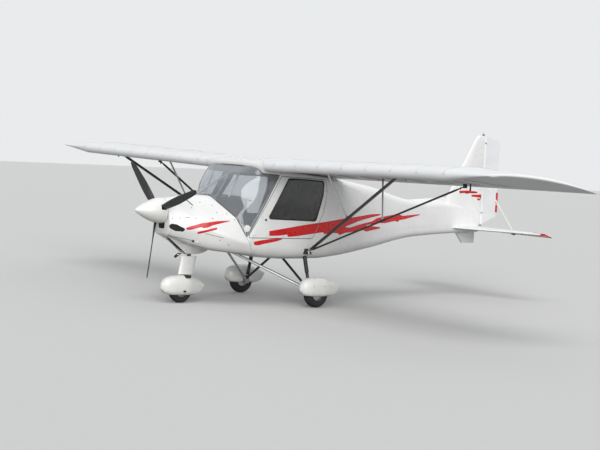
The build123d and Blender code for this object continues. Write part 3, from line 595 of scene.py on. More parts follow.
# Name, colour, roughness, grain in millimetres, spread of roughness, relief in metres and metallic
PLAIN_FINISHES = (
    # Needle felt glued inside the cabin: matt and dark, with a loose nap
    ("cabin_lining", "2E2B2C", 0.90, 4, 0.06, 0.00020),
    # Powder-coated steel tube: satin black with a faint orange peel
    ("black_tube", "2B2725", 0.42, 14, 0.08, 0.00006),
    # Drawn aluminium tube, weathered: a soft grey mirror
    ("silver_tube", "B9BBBC", 0.38, 22, 0.08, 0.00004, 1.0),
    # Zinc-plated steel, passivated: dull and clouded
    ("zinc_plate", "8D8F90", 0.42, 9, 0.10, 0.00004, 1.0),
    # Bright zinc of buckles and rod ends: newer and shinier than the plate
    ("zinc_bright", "C9CBCC", 0.28, 9, 0.06, 0.00003, 1.0),
    # Sand-cast aluminium of the engine: a coarse grain that breaks its highlights
    ("cast_engine", "6F7072", 0.55, 3, 0.10, 0.00030, 1.0),
    # Carbon laminate under lacquer, moulded: dark and half glossy
    ("black_composite", "1B1C1F", 0.34, 25, 0.06, 0.00005),
    # Vulcanised tyre rubber: matt, with a fine grain
    ("tyre_rubber", "1C1B1A", 0.78, 4, 0.08, 0.00015),
    # Turned aluminium wheel rims: pale, with worn patches
    ("rim_alloy", "A9ABAD", 0.36, 10, 0.08, 0.00004, 1.0),
    # Stainless exhaust pipe, browned by heat
    ("exhaust_steel", "4B433D", 0.50, 12, 0.12, 0.00010, 1.0),
    # Textured black paint of the instrument panel
    ("panel_black", "191A1B", 0.62, 2, 0.08, 0.00012),
    # Woven wool seat cloth, dark red: matt, drawn at 5 mm so that it shows
    ("seat_cloth", "3A2426", 0.85, 5, 0.08, 0.00040),
    # Fibreglass laminate under grey flow coat
    ("bench_grey", "5A5B5D", 0.70, 6, 0.08, 0.00020),
    # Extruded rubber profile: black and matt
    ("seal_rubber", "141414", 0.60, 8, 0.08, 0.00010),
    # White enamel on tubes, antenna and vents
    ("antenna_white", "E6E6E4", 0.35, 15, 0.06, 0.00004),
    # Painted mesh behind the intakes, near black as painted shade of the deep ducts and the scoop
    ("mesh_and_duct_shade", "0B0B0C", 0.80, 3, 0.08, 0.00020),
    # Joint of two moulded panels: a thin grey line of filler; under the wing's leading edge the same grey
    # line is painted shade
    ("seam_and_shade_grey", "9A9B9A", 0.60, 6, 0.08, 0.00005),
    # Waxed polyester cord of the rib stitching, greyer than the cloth, which draws the dark lines along the
    # ribs under the wing
    ("lacing_grey", "77746F", 0.80, 5, 0.08, 0.00010),
    # Finishing tape under dope: a shade rougher than the cloth, and a little greyer as painted shade of the
    # lines along the ribs
    ("shaded_rib_tape", "E9EAEB", 0.45, 5, 0.06, 0.00008),
    # Pale enamel on the tail's streamlined brace tubes
    ("brace_paint", "D9D9D4", 0.38, 12, 0.06, 0.00004),
    # Woven nylon webbing of the belts: matt and nearly black
    ("webbing", "26272B", 0.80, 3, 0.08, 0.00030),
)


def make_finishes():
    """Every material of the aircraft."""
    paint = bpy.context.scene.aircraft_finish
    # Polyester gelcoat from a mould: glossy, a faint long wave, dulled in patches by road film
    for name, colour in (("gelcoat", paint.gelcoat), ("spinner_gelcoat", paint.spinner)):
        tree, shader, coords = principled(name, hex_of(colour), 0.22)
        shader.inputs["Coat Weight"].default_value = 0.25
        shader.inputs["Coat Roughness"].default_value = 0.08
        patterns = []
        for size_mm, detail in ((90, 2), (260, 5)):
            values = {"Scale": per_mm(size_mm), "Detail": detail}
            patterns.append(add_node(tree, "ShaderNodeTexNoise", {"Vector": coords}, values).outputs["Fac"])
        wave, grime = patterns
        tint = ramp(tree, grime, 0.42, 0.72, (shaded(colour, 1.0), shaded(colour, 0.94)))
        worn = ramp(tree, grime, 0.3, 0.7, (grey(0.18), grey(0.34)))
        feed(tree, shader, wave, 0.0009, Base_Color=tint, Roughness=worn)
    # Doped polyester cloth: satin, with a weave drawn at 3 mm so that it shows
    for name, bands in (("wing_cloth", "X"), ("tail_cloth", "Z")):
        tree, shader, coords = principled(name, hex_of(paint.cloth), 0.38)
        scale = {"Scale": per_mm(3) / 10, "Distortion": 0.4}
        weave = add_node(tree, "ShaderNodeTexWave", {"Vector": coords}, scale, bands_direction=bands)
        values = {"Scale": per_mm(420), "Detail": 4}
        stain = add_node(tree, "ShaderNodeTexNoise", {"Vector": coords}, values).outputs["Fac"]
        tint = ramp(tree, stain, 0.4, 0.75, (shaded(paint.cloth, 1.0), shaded(paint.cloth, 0.94)))
        feed(tree, shader, weave.outputs["Fac"], 0.00012, 0.5, Base_Color=tint)
    # Cut vinyl film: the stripes, smooth and a little softer than the gelcoat
    plain_finish("red_film", hex_of(paint.stripe), 0.30, 60, 0.05, 0.0002)
    # Cast acrylic of the windscreen: clear, with a pale milky part laid in as painted reflection
    principled("acrylic", "E4E9EE", 0.02, ior=1.49, Transmission_Weight=0.88)
    # Cast acrylic of the doors: polished, a little grey
    principled("window_acrylic", "D4D8D9", 0.02, ior=1.49, Transmission_Weight=1.0)
    # A deep blue tint inside the windscreen's top: painted reflection
    principled("blue_reflection_tint", "1E2C4A", 0.12, ior=1.49, Transmission_Weight=0.55)
    # Beacon dome: clear polycarbonate over a pale flash tube
    principled("beacon_lens", "E8E4E0", 0.10, ior=1.58, Transmission_Weight=0.25)
    for row in PLAIN_FINISHES:
        plain_finish(*row)


def hex_of(colour):
    """The sRGB hex code of a linear colour."""
    parts = [12.92 * c if c <= 0.0031308 else 1.055 * c ** (1 / 2.4) - 0.055 for c in colour[:3]]
    return "".join(f"{round(255 * p):02X}" for p in parts)


def shaded(colour, shade):
    """A linear colour darkened by a share."""
    return (*(c * shade for c in colour[:3]), 1.0)


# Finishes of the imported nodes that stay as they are
NODE_FINISHES = {
    "firewall": "silver_tube", "rear_bulkhead": "bench_grey", "engine": "cast_engine",
    "nose_leg_bearing": "zinc_plate", "strut_fittings": "black_tube", "tail_braces": "brace_paint",
    "antenna": "antenna_white", "cabin_frame": "antenna_white", "seat_bench": "bench_grey",
    "control_stick": "black_composite", "exhaust_pipe": "exhaust_steel", "nose_fork": "black_tube",
    "jury_struts_left": "silver_tube", "jury_struts_right": "silver_tube", "main_rim_left": "rim_alloy",
    "main_rim_right": "rim_alloy", "nose_rim": "rim_alloy", "instrument_panel": "panel_black",
    "ventral_fin": "gelcoat", "nose_leg_fairing": "gelcoat",
}


def colour_setting(name, description, code):
    """A colour that a user would change."""
    return bpy.props.FloatVectorProperty(
        name=name, description=description, subtype="COLOR", size=4, min=0, max=1, default=srgb(code))


def length_setting(name, description, default, low, high):
    """A length in metres that a user would change."""
    return bpy.props.FloatProperty(
        name=name, description=description, default=default, min=low, max=high, subtype="DISTANCE",
        unit="LENGTH")


class AircraftFinish(bpy.types.PropertyGroup):
    """Colours of the painted, moulded and covered surfaces."""

    gelcoat: colour_setting("Gelcoat", "Colour of the moulded fuselage", "F0F0EE")
    spinner: colour_setting("Spinner", "Colour of the spinner and the wheel fairings", "EFEEEA")
    cloth: colour_setting("Cloth", "Colour of the wing and tail covering", "F2F3F4")
    stripe: colour_setting("Stripe", "Colour of the film stripes", "D20F14")


class AircraftSizes(bpy.types.PropertyGroup):
    """Sizes of the skin, the seams and the covering."""

    wall: length_setting("Skin", "Thickness of the moulded skin", 0.004, 0.001, 0.01)
    seam: length_setting("Seam", "Half the gap between two panels", 0.0025, 0.0, 0.006)
    glass: length_setting("Glass", "Thickness of the windscreen and windows", 0.003, 0.001, 0.008)
    rib_spacing: length_setting("Rib spacing", "Distance between wing ribs", 0.42, 0.2, 0.8)
    sag: length_setting("Cloth sag", "How far the wing covering dips between ribs", 0.012, 0.0, 0.02)


def sizes():
    """The scene's size settings."""
    return bpy.context.scene.aircraft_sizes


# Side views of the panels, (x, z)
def foot_line(z):
    """x of the windscreen's foot at a height."""
    return FOOT_X + FOOT_LEAN * (z - FOOT_Z)


APEX = (foot_line(0.860), 0.860)
GLASS_EDGE = rounded(
    [APEX, (foot_line(1.600) + 0.1, 1.600), (2.100, 1.850), (1.700, 1.760), (1.640, 1.646), (1.398, 1.634)],
    [0.004, 0.01, 0.01, 0.01, 0.02, 0.02])
DOOR_EDGE = rounded(
    [(1.833, 0.856), (1.361, 1.620), (0.650, 1.596), (0.612, 1.450), (0.674, 1.178), (0.827, 0.848)],
    [0.015, 0.03, 0.06, 0.05, 0.05, 0.06])
WINDOW_EDGE = rounded(
    [(1.545, 1.096), (1.246, 1.597), (0.678, 1.574), (0.690, 1.400), (0.793, 1.074)],
    [0.022, 0.030, 0.035, 0.05, 0.045])
GLASS_ROWS = np.concatenate([spaced(FOOT_X, HOOD_X, 0.011), spaced(HOOD_X, 1.30, 0.016)[1:]])
CABIN_ROWS = np.concatenate([GLASS_ROWS, spaced(1.30, SHELL_REAR_X, 0.016)[1:]])


def panel(keys, *tests):
    """A part of the fuselage's skin, cut by one test after another."""
    mesh = skin(keys)
    for test in tests:
        clip(mesh, test)
    return mesh


def in_cheek(points):
    """How far points lie inside the outline of a cheek intake, seen square to the cheek."""
    along = 0.7 * (np.abs(points[:, 1]) - 0.235) - 0.7 * (points[:, 0] - 2.64)
    return outline_distance(np.stack([along, points[:, 2]], axis=1), CHEEK_EDGE)


def in_radiator(points):
    """How far points lie inside the square opening under the spinner."""
    flat = outline_distance(points[:, [1, 2]], RADIATOR_EDGE)
    return np.where(points[:, 0] > 2.6, flat, -1.0)


CHEEK_EDGE = rounded(
    [(-0.102, 0.958), (-0.068, 0.990), (-0.005, 0.985), (0.100, 0.938), (0.086, 0.898), (-0.020, 0.902),
     (-0.080, 0.930)],
    [0.018, 0.018, 0.03, 0.014, 0.014, 0.03, 0.018])
RADIATOR_EDGE = rounded([(-0.07, 0.918), (0.07, 0.918), (0.07, 1.000), (-0.07, 1.000)], 0.016)


def mouth_z(x):
    """Height of the chin scoop's slanted mouth at x."""
    return 0.614 + (x - 2.385) * 0.763


def lip_loops(mesh, test, inward, depth):
    """Turn the edge of an opening inwards, and return its points in order."""
    edges = [
        e for e in mesh.edges
        if e.is_boundary and abs(test(np.array([e.verts[0].co[:], e.verts[1].co[:]]))).max() < 0.004
    ]
    loop = {v for e in edges for v in e.verts}
    points = np.array([v.co[:] for v in loop])
    made = bmesh.ops.extrude_edge_only(mesh, edges=edges)["geom"]
    moved = [v for v in made if isinstance(v, bmesh.types.BMVert)]
    bmesh.ops.translate(mesh, vec=Vector(inward) * depth, verts=moved)
    return points


def duct_mesh(points, inward, depths):
    """A blind duct behind an opening whose edge has these points."""
    inward = np.asarray(inward, float)
    centre = points.mean(0)
    u = unit(np.cross(inward, (0, 0, 1.0)))
    v = np.cross(inward, u)
    turn = np.argsort(np.arctan2((points - centre) @ v, (points - centre) @ u))
    ring = points[turn]
    rings = [centre + (ring - centre) * scale + inward * depth for depth, scale in depths]
    return loft_mesh(rings)


class BuildCowl(bpy.types.Operator):
    """Build the engine cowl with its intakes, and the chin scoop"""

    bl_idname = "aircraft.build_cowl"
    bl_label = "Engine cowl"

    def execute(self, context):
        wall = sizes().wall
        keys = np.concatenate([spaced(COWL_FACE_X, 2.300, 0.014), spaced(2.300, FOOT_X + 0.003, 0.018)[1:]])
        rings = [skin_ring(row) for row in skin_rows(keys)]
        middle = np.array([COWL_FACE_X, 0, 1.060])
        front = []
        for angle in np.linspace(pi / 2, 0.2, 6):
            ring = middle + (rings[0] - middle) * (1 - 0.11 * (1 - cos(angle)))
            ring[:, 0] = COWL_FACE_X + 0.022 * sin(angle)
            front.append(ring)
        face = front[0]
        angles = np.arctan2(face[:, 2] - PROP_Z, face[:, 1])
        hole = np.stack([face[:, 0], 0.074 * np.cos(angles), PROP_Z + 0.074 * np.sin(angles)], axis=1)
        flat = [hole + share * (face - hole) for share in np.linspace(0, 1, 12)[:-1]]
        mesh = face_out(sheet_mesh(flat + front + rings, wrap=True), 1.06)
        ducts = []
        clip(mesh, outside(in_radiator))
        ducts.append(("radiator_duct", lip_loops(mesh, in_radiator, (-1, 0, 0), 0.012), (-1, 0, 0)))
        clip(mesh, outside(in_cheek))
        for name, side in SIDES:
            inward = (-0.75, -0.66 * side, 0)
            test = lambda points, side=side: np.where(points[:, 1] * side > 0, in_cheek(points), 1.0)
            ducts.append((f"cheek_duct_{name}", lip_loops(mesh, test, inward, 0.010), inward))
        piece("engine_cowl_skin", mesh, "gelcoat", ["engine_cowl"], wall=wall, soften=0.0015)
        # The blind ducts are near black: painted shade of the intakes' depth
        for name, points, inward in ducts:
            duct = duct_mesh(points, inward, ((0.006, 1.02), (0.030, 0.98), (0.075, 0.85)))
            piece(name, duct, "mesh_and_duct_shade")
        self.scoop(wall)
        return {"FINISHED"}

    def scoop(self, wall):
        """The chin scoop: a keel-like fairing whose slanted front edge is open."""
        # x, z of the bottom, z inside the skin, half width at the bottom, half width at the top
        table = np.array([
            (2.690, 0.842, 0.900, 0.040, 0.060), (2.655, 0.820, 0.880, 0.050, 0.080),
            (2.560, 0.748, 0.850, 0.054, 0.115), (2.460, 0.672, 0.820, 0.058, 0.140),
            (2.385, 0.614, 0.790, 0.060, 0.150), (2.300, 0.604, 0.760, 0.062, 0.156),
            (2.200, 0.606, 0.740, 0.056, 0.150), (2.100, 0.620, 0.720, 0.040, 0.130),
            (2.020, 0.650, 0.710, 0.020, 0.100),
        ])
        keys = spaced(2.690, 2.020, 0.020)
        rings = []
        for x, (z_low, z_high, half_low, half_high) in zip(keys, monotone(table[:, 0], table[:, 1:], keys)):
            middle = (half_high * 0.55 + half_low * 0.45, (z_low + z_high) / 2)
            corner = np.array([(half_high, z_high), middle, (half_low, z_low), (0, z_low)])
            upper, lower = fillet(*corner[:3], 0.10, 6), fillet(*corner[1:], 0.035, 7)
            curve = np.vstack([corner[:1], upper, lower, corner[3:]])
            loop = np.vstack([curve, (curve * (-1, 1))[-2::-1]])
            rings.append(np.stack([np.full(len(loop), x), loop[:, 0], loop[:, 1]], axis=1))
        mesh = face_out(sheet_mesh(rings), 0.9)

        def behind_mouth(points):
            return np.maximum(points[:, 2] - mouth_z(points[:, 0]) - 0.008, 2.392 - points[:, 0])

        clip(mesh, behind_mouth)
        piece("chin_scoop_skin", mesh, "gelcoat", ["chin_scoop"], wall=wall, soften=0.001)
        # A near-black core in the scoop's mouth: a radiator, with painted shade of the scoop's inside
        core = [
            [(x, -half, mouth_z(x) + 0.036), (x, half, mouth_z(x) + 0.036),
             (x, half, mouth_z(x) + 0.076), (x, -half, mouth_z(x) + 0.076)]
            for x, half in ((2.640, 0.060), (2.385, 0.085))
        ]
        piece("scoop_radiator", loft_mesh(core), "mesh_and_duct_shade")


class BuildCabin(bpy.types.Operator):
    """Build the cabin shell, the windscreen and the tail shell"""

    bl_idname = "aircraft.build_cabin"
    bl_label = "Cabin and tail"

    def execute(self, context):
        size = sizes()
        seam = size.seam
        keys = CABIN_ROWS.copy()
        keys[0] = FOOT_X - seam
        mesh = panel(keys, outside(side_view(GLASS_EDGE, seam)), outside(side_view(DOOR_EDGE, 2 * seam)))
        piece("cabin_skin", mesh, "gelcoat", ["cabin_shell"], wall=size.wall, soften=0.001,
              lining="cabin_lining")
        mesh = panel(keys[keys > 1.32], side_view(GLASS_EDGE, -seam))
        piece("windscreen_glass", mesh, "acrylic", ["windscreen"], wall=size.glass, soften=0.0006)
        rows = spaced(SHELL_REAR_X - 0.0015, TAIL_END_X, 0.034)
        mesh = skin(rows)
        end = [v for v in mesh.verts if abs(v.co.x - TAIL_END_X) < 1e-5]
        mesh.faces.new(end)
        face_out(mesh, 1.0)
        piece("tail_skin", mesh, "gelcoat", ["tail_shell"], wall=size.wall, soften=0.001)
        return {"FINISHED"}


# Film stripes, side views read off the photograph
STRIPES = {
    "side": [
        (1.528, 0.940), (0.962, 1.023), (0.271, 1.106), (0.080, 1.120), (-0.322, 1.159), (-0.520, 1.162),
        (-0.500, 1.143), (-0.325, 1.117), (-0.125, 1.085), (0.001, 1.059), (0.147, 1.023), (0.264, 0.994),
        (0.145, 0.986), (-0.077, 1.028), (-0.328, 1.063), (-0.449, 1.109), (-0.646, 1.134), (-0.895, 1.162),
        (-0.997, 1.136), (-1.364, 1.158), (-1.377, 1.147), (-1.049, 1.091), (-0.924, 1.076), (-0.887, 1.050),
        (-0.836, 1.068), (-0.626, 1.039), (-0.428, 1.040), (-0.181, 1.009), (-0.332, 0.998), (-0.505, 0.986),
        (-0.519, 0.970), (-0.212, 0.928), (-0.159, 0.948), (0.067, 0.932), (0.235, 0.920), (0.358, 0.891),
        (0.382, 0.914), (0.527, 0.922), (0.641, 0.905), (0.662, 0.930), (1.099, 0.878), (1.227, 0.870),
        (1.244, 0.899), (1.372, 0.884), (1.496, 0.881), (1.541, 0.890), (1.516, 0.901),
    ],
    "sill": [
        (1.743, 0.804), (1.681, 0.820), (1.503, 0.843), (1.304, 0.854), (1.322, 0.836), (1.407, 0.812),
        (1.618, 0.776), (1.668, 0.763), (1.733, 0.767),
    ],
    "cowl_upper": [
        (2.558, 0.944), (2.533, 0.960), (2.389, 1.012), (2.204, 1.044), (2.017, 1.057), (2.060, 1.045),
        (2.155, 1.021), (2.257, 0.993), (2.326, 0.960), (2.373, 0.953), (2.391, 0.966), (2.497, 0.930),
        (2.540, 0.925),
    ],
    "cowl_lower": [
        (2.436, 0.895), (2.416, 0.911), (2.259, 0.958), (2.205, 0.968), (2.216, 0.942), (2.378, 0.893),
        (2.420, 0.880),
    ],
}
FILM_LIFT = 0.0006
FILM_WALL = 0.0003
FILM_GAP = 0.0015


class BuildStripes(bpy.types.Operator):
    """Lay the film stripes on the cowl, the doors and the fuselage"""

    bl_idname = "aircraft.build_stripes"
    bl_label = "Stripes"

    def execute(self, context):
        seam = sizes().seam
        on_door = side_view(DOOR_EDGE, -seam - FILM_GAP)
        off_door = outside(side_view(DOOR_EDGE, seam + FILM_GAP))
        for name, outline in STRIPES.items():
            edge = rounded(outline, 0.004)
            shear = FOOT_LEAN * 0.25 if name.startswith("cowl") else 0
            rows = spaced(edge[:, 0].max() + 0.03 + shear, edge[:, 0].min() - 0.03 - shear, 0.010)
            cuts = [("", "airframe", (off_door,) if name in ("side", "sill") else ())]
            if name == "side":
                cuts.append(("_door", "cabin_door_{}", (on_door,)))
            for suffix, body, tests in cuts:
                mesh = skin_patch(rows, edge[:, 1].min() - 0.01, edge[:, 1].max() + 0.01)
                for test in (side_view(edge), *tests):
                    clip(mesh, test)
                raised(mesh, FILM_LIFT)
                both_sides(f"stripe_{name}{suffix}" + "_{}", mesh, "red_film", body=body, wall=FILM_WALL,
                           offset=1.0)
        return {"FINISHED"}


class BuildDoors(bpy.types.Operator):
    """Build the doors with their windows"""

    bl_idname = "aircraft.build_doors"
    bl_label = "Doors"

    def execute(self, context):
        size = sizes()
        rows = spaced(1.850, 0.590, 0.014)
        left_half = lambda points: points[:, 1] - 0.3
        panels = (
            ("door", "gelcoat", size.wall, "cabin_lining",
             (side_view(DOOR_EDGE, -size.seam), outside(side_view(WINDOW_EDGE, size.seam / 2)))),
            ("door_window", "window_acrylic", size.glass, None, (side_view(WINDOW_EDGE),)),
        )
        for kind, material, wall, lining, tests in panels:
            mesh = panel(rows, left_half, *tests)
            both_sides(kind + "_{}_skin", mesh, material, [kind + "_{}"], "cabin_door_{}", wall=wall,
                       soften=0.0008, lining=lining)
        return {"FINISHED"}


# Wing
def camber_z(x):
    """Height of the wing section's middle line at x."""
    back = x - WING_TE_X
    return 1.617 + 0.2922 * back - 0.141 * back**2


def rise_at(y):
    """How far dihedral lifts the wing at y."""
    return (y - CENTRE_HALF) * DIHEDRAL


def wing_profile():
    """The wing section as (x, z): from the trailing edge along the top, round the nose and back below."""
    top, nose, under = 26, 18, 22
    over = arc_points((WING_TE_X, 1.622), (1.150, 1.838), (1.600, 1.808), top)
    front = arc_points((1.600, 1.808), (WING_LE_X, 1.765), (1.540, 1.712), nose)
    below = np.stack([np.linspace(1.540, WING_TE_X, under), np.linspace(1.712, 1.612, under)], axis=1)
    loop = np.vstack([over, front[1:], below[1:]])
    smooth = loop.copy()
    inner = slice(top - 8, top + nose + 6)
    for _ in range(6):
        smooth[1:-1] = smooth[1:-1] + 0.5 * ((smooth[:-2] + smooth[2:]) / 2 - smooth[1:-1])
        loop[inner] = smooth[inner]
        smooth = loop.copy()
    return loop


def cove(profile):
    """The profile with its rear part folded into the round hollow ahead of a flap or aileron."""
    axis = np.array([SURFACE_AXIS_X, camber_z(SURFACE_AXIS_X)])
    out = profile.copy()
    rear = profile[:, 0] < SURFACE_AXIS_X
    angle = np.arctan2(profile[:, 1] - axis[1], np.maximum(profile[:, 0] - axis[0], 0))
    share = np.clip((profile[:, 0] - WING_TE_X) / (SURFACE_AXIS_X - WING_TE_X), 0, 1)
    turn = np.where(profile[:, 1] > np.array([camber_z(x) for x in profile[:, 0]]), 1, -1) * share * pi / 2
    arc = axis + COVE_R * np.stack([np.cos(turn), np.sin(turn)], axis=1)
    out[rear] = arc[rear]
    near = (~rear) & (np.hypot(*(profile - axis).T) < COVE_R)
    out[near] = axis + COVE_R * np.stack([np.cos(angle[near]), np.sin(angle[near])], axis=1)
    return out


def cloth_dip(y, x, depth, start, spacing):
    """How far the covering dips at a point between two ribs; none near the leading and trailing edge."""
    bay = np.sin(pi * ((y - start) / spacing % 1.0)) ** 0.9
    front = np.clip((1.50 - x) / 0.25, 0, 1)
    rear = np.clip((x - WING_TE_X) / 0.25, 0, 1)
    return depth * bay * (front * front * (3 - 2 * front)) * rear


def wing_ring(y, profile, depth, spacing, thin=1.0, x_high=WING_LE_X, y_low=None, y_high=None, rise=None):
    """A wing station: the profile stretched between two plan points, thinned, dipped between ribs."""
    x, z = profile[:, 0], profile[:, 1]
    middle = np.array([camber_z(value) for value in x])
    side = np.where(z > middle, 1, -1)
    dip = cloth_dip(y, x, depth, CENTRE_HALF, spacing) * np.where(side > 0, 1.0, 0.7)
    share = (x - WING_TE_X) / (WING_LE_X - WING_TE_X)
    y_low = y if y_low is None else y_low
    y_high = y if y_high is None else y_high
    rise = rise_at(y) if rise is None else rise
    return np.stack([
        WING_TE_X + share * (x_high - WING_TE_X),
        y_low + share * (y_high - y_low),
        middle + (z - middle) * thin - side * dip + rise,
    ], axis=1)


def surface_profile():
    """A flap or aileron section as (x, offset from the middle line): its nose is round."""
    nose = np.array([
        (SURFACE_AXIS_X + 0.046 * cos(a), SURFACE_HALF * sin(a)) for a in np.linspace(pi / 2, -pi / 2, 13)
    ])
    back = np.linspace(SURFACE_AXIS_X, WING_TE_X, 10)
    under = np.stack([back, np.linspace(-SURFACE_HALF, -0.005, 10)], axis=1)
    over = arc_points((WING_TE_X, 0.005), (0.485, 0.0315), (SURFACE_AXIS_X, SURFACE_HALF), 11)
    return np.vstack([nose, under[1:], over[:-1]])


class BuildWings(bpy.types.Operator):
    """Build the wing panels, the centre section with its hood, the flaps and the ailerons"""

    bl_idname = "aircraft.build_wings"
    bl_label = "Wings"

    def execute(self, context):
        size = sizes()
        profile = wing_profile()
        folded = cove(profile)
        self.panels(size, profile, folded)
        self.centre(size, profile)
        self.surfaces(size)
        return {"FINISHED"}

    def panels(self, size, profile, folded):
        """Wing panels, with a round hollow along the flap and the aileron."""
        cuts = [(low - 0.006, high + 0.006) for low, high, _, _ in TRAILING.values()]
        inner = {y for pair in cuts for y in pair if y < WING_FULL_Y}
        marks = sorted({CENTRE_HALF + 0.0015, WING_FULL_Y, *inner})
        rings = []
        for low, high in zip(marks, marks[1:]):
            hollow = any(a <= (low + high) / 2 <= b for a, b in cuts)
            for y in spaced(low, high, size.rib_spacing / 10):
                rings.append(wing_ring(y, folded if hollow else profile, size.sag, size.rib_spacing))
        end = cuts[-1][1]
        tip_y = lambda share, plan: WING_FULL_Y + share * (plan[1] - WING_FULL_Y)
        for share in np.concatenate([np.linspace(0, 1, 18)[1:], [1.010, 1.014]]):
            y_low, y_high = tip_y(share, TIP_TE), tip_y(share, TIP_LE)
            thin = 1 + min(share, 1) * (TIP_THIN - 1) if share <= 1 else (0.14, 0.03)[int(share > 1.012)]
            x_high = WING_LE_X + share * (TIP_LE[0] - WING_LE_X)
            base = folded if y_low < end - 0.3 else profile
            dip = size.sag * max(0, 1 - share)
            rise = rise_at(WING_FULL_Y + share * (TIP_LE[1] - WING_FULL_Y))
            rings.append(wing_ring((y_low + y_high) / 2, base, dip, size.rib_spacing, thin, x_high, y_low,
                                   y_high, rise))
        both_sides("wing_{}_cover", loft_mesh(rings), "wing_cloth", ["wing_{}"])

    def centre(self, size, profile):
        """The wing over the cabin and the hood that carries it down to the windscreen."""
        across = np.linspace(-CENTRE_HALF, CENTRE_HALF, 9)
        rings = [wing_ring(y, profile, 0, size.rib_spacing, rise=0.001) for y in across]
        piece("wing_centre_cover", loft_mesh(rings), "gelcoat", ["wing_centre"])
        rows = np.array(HOOD).reshape(len(HOOD), 12)
        where = np.linspace(0, len(HOOD) - 1, 49)
        smooth = monotone(np.arange(len(HOOD)), rows, where).reshape(-1, 4, 3)
        t = np.linspace(0, 1, 15)[:, None]
        left = [
            (1 - t) ** 3 * a + 3 * t * (1 - t) ** 2 * b + 3 * t * t * (1 - t) * c + t**3 * d
            for a, b, c, d in smooth
        ]
        grid = [row * (1, -1, 1) for row in left[:0:-1]] + left
        mesh = sheet_mesh(grid)
        bmesh.ops.recalc_face_normals(mesh, faces=mesh.faces)
        piece("windscreen_hood", facing(mesh, (0.5, 0, 1)), "gelcoat", wall=0.003, soften=0.001)

    def surfaces(self, size):
        """Flaps and ailerons, notched for their hinges."""
        base = surface_profile()
        for kind, (low, high, thin, hinges) in TRAILING.items():
            marks = {low, high, *(y + e for y in hinges for e in (-0.010, 0.010))}
            if kind == "aileron":
                marks.add(WING_FULL_Y)
            marks = sorted(marks)
            rings = []
            for start, end in zip(marks, marks[1:]):
                notched = any(start < y < end and end - start < 0.021 for y in hinges)
                for y in spaced(start, end, size.rib_spacing / 8):
                    taper = 1 + (thin - 1) * max(0, y - WING_FULL_Y) / (high - WING_FULL_Y)
                    x = base[:, 0].copy()
                    if notched:
                        x = np.minimum(x, SURFACE_AXIS_X - 0.034)
                    offset = base[:, 1] * taper
                    dip = cloth_dip(y, np.full(len(x), 0.9), 0.003, CENTRE_HALF, size.rib_spacing)
                    dip = np.sign(base[:, 1]) * dip * np.clip((SURFACE_AXIS_X - x) / 0.05, 0, 1)
                    dip = dip * np.clip((x - WING_TE_X) / 0.08, 0, 1)
                    nose = np.maximum(x - SURFACE_AXIS_X, 0) * taper + np.minimum(x, SURFACE_AXIS_X)
                    middle = np.array([camber_z(value) for value in np.minimum(x, SURFACE_AXIS_X)])
                    z = middle + offset - dip + rise_at(y)
                    rings.append(np.stack([nose, np.full(len(x), y), z], axis=1))
            both_sides(kind + "_{}_cover", loft_mesh(rings), "wing_cloth", [kind + "_{}"], kind + "_body_{}")


# Hood: for each station from the middle to the door, four points from the windscreen's edge up to the wing
HOOD = (
    ((1.690, 0, 1.728), (1.706, 0, 1.765), (1.690, 0, 1.802), (1.580, 0, 1.815)),
    ((1.690, 0.20, 1.727), (1.706, 0.20, 1.764), (1.690, 0.20, 1.802), (1.580, 0.20, 1.815)),
    ((1.685, 0.35, 1.720), (1.704, 0.355, 1.758), (1.689, 0.36, 1.800), (1.582, 0.36, 1.814)),
    ((1.675, 0.45, 1.705), (1.698, 0.458, 1.742), (1.690, 0.465, 1.792), (1.590, 0.47, 1.814)),
    ((1.660, 0.53, 1.680), (1.688, 0.54, 1.715), (1.692, 0.548, 1.772), (1.625, 0.56, 1.808)),
    ((1.630, 0.575, 1.652), (1.655, 0.585, 1.690), (1.674, 0.605, 1.735), (1.672, 0.625, 1.772)),
    ((1.560, 0.585, 1.643), (1.568, 0.592, 1.672), (1.585, 0.615, 1.708), (1.600, 0.655, 1.733)),
    ((1.480, 0.590, 1.638), (1.480, 0.594, 1.665), (1.482, 0.610, 1.695), (1.490, 0.645, 1.714)),
    ((1.398, 0.592, 1.634), (1.398, 0.595, 1.660), (1.398, 0.608, 1.688), (1.398, 0.635, 1.706)),
)


# Tail
def section_half(share, thick, rear):
    """Half width of a thin symmetrical section at a share of its chord."""
    nose = thick / 2 * np.sqrt(np.clip(1 - ((THICKEST - share) / THICKEST) ** 2, 0, 1))
    tail = thick / 2 + (rear - thick) / 2 * (share - THICKEST) / (1 - THICKEST)
    return np.where(share < THICKEST, nose, tail)


def fin_section(chord, thick, rear, dip=0.0):
    """A thin symmetrical section as (distance behind the leading edge, half width), nose to rear."""
    front = THICKEST * (1 - np.cos(np.linspace(0, pi / 2, 9)))
    share = np.concatenate([front, np.linspace(THICKEST, 1, 12)[1:]])
    half = section_half(share, thick, rear)
    half = half - dip * np.sin(pi * np.clip((share - 0.15) / 0.85, 0, 1))
    return share * chord, half


def fin_at(z):
    """x of the fin's leading edge and the fin's thickness at a height."""
    share = (z - FIN_Z[0]) / (FIN_Z[1] - FIN_Z[0])
    lead = FIN_LEAD_X[0] + share * (FIN_LEAD_X[1] - FIN_LEAD_X[0])
    return lead, FIN_THICK[0] + share * (FIN_THICK[1] - FIN_THICK[0])


def stations(ends, hinges, step):
    """Places along a hinged surface, each with whether it lies in a hinge's notch."""
    marks = sorted({*ends, *(place + e for place in hinges for e in (-NOTCH_HALF, NOTCH_HALF))})
    for low, high in zip(marks, marks[1:]):
        for place in spaced(low, high, step):
            yield place, high - low < 2.1 * NOTCH_HALF


def both_faces(behind, half):
    """A closed ring of (behind, half width) from one side of the rear, round the nose, to the other side."""
    return np.vstack([np.stack([behind, half], axis=1)[::-1], np.stack([behind, -half], axis=1)[1:]])


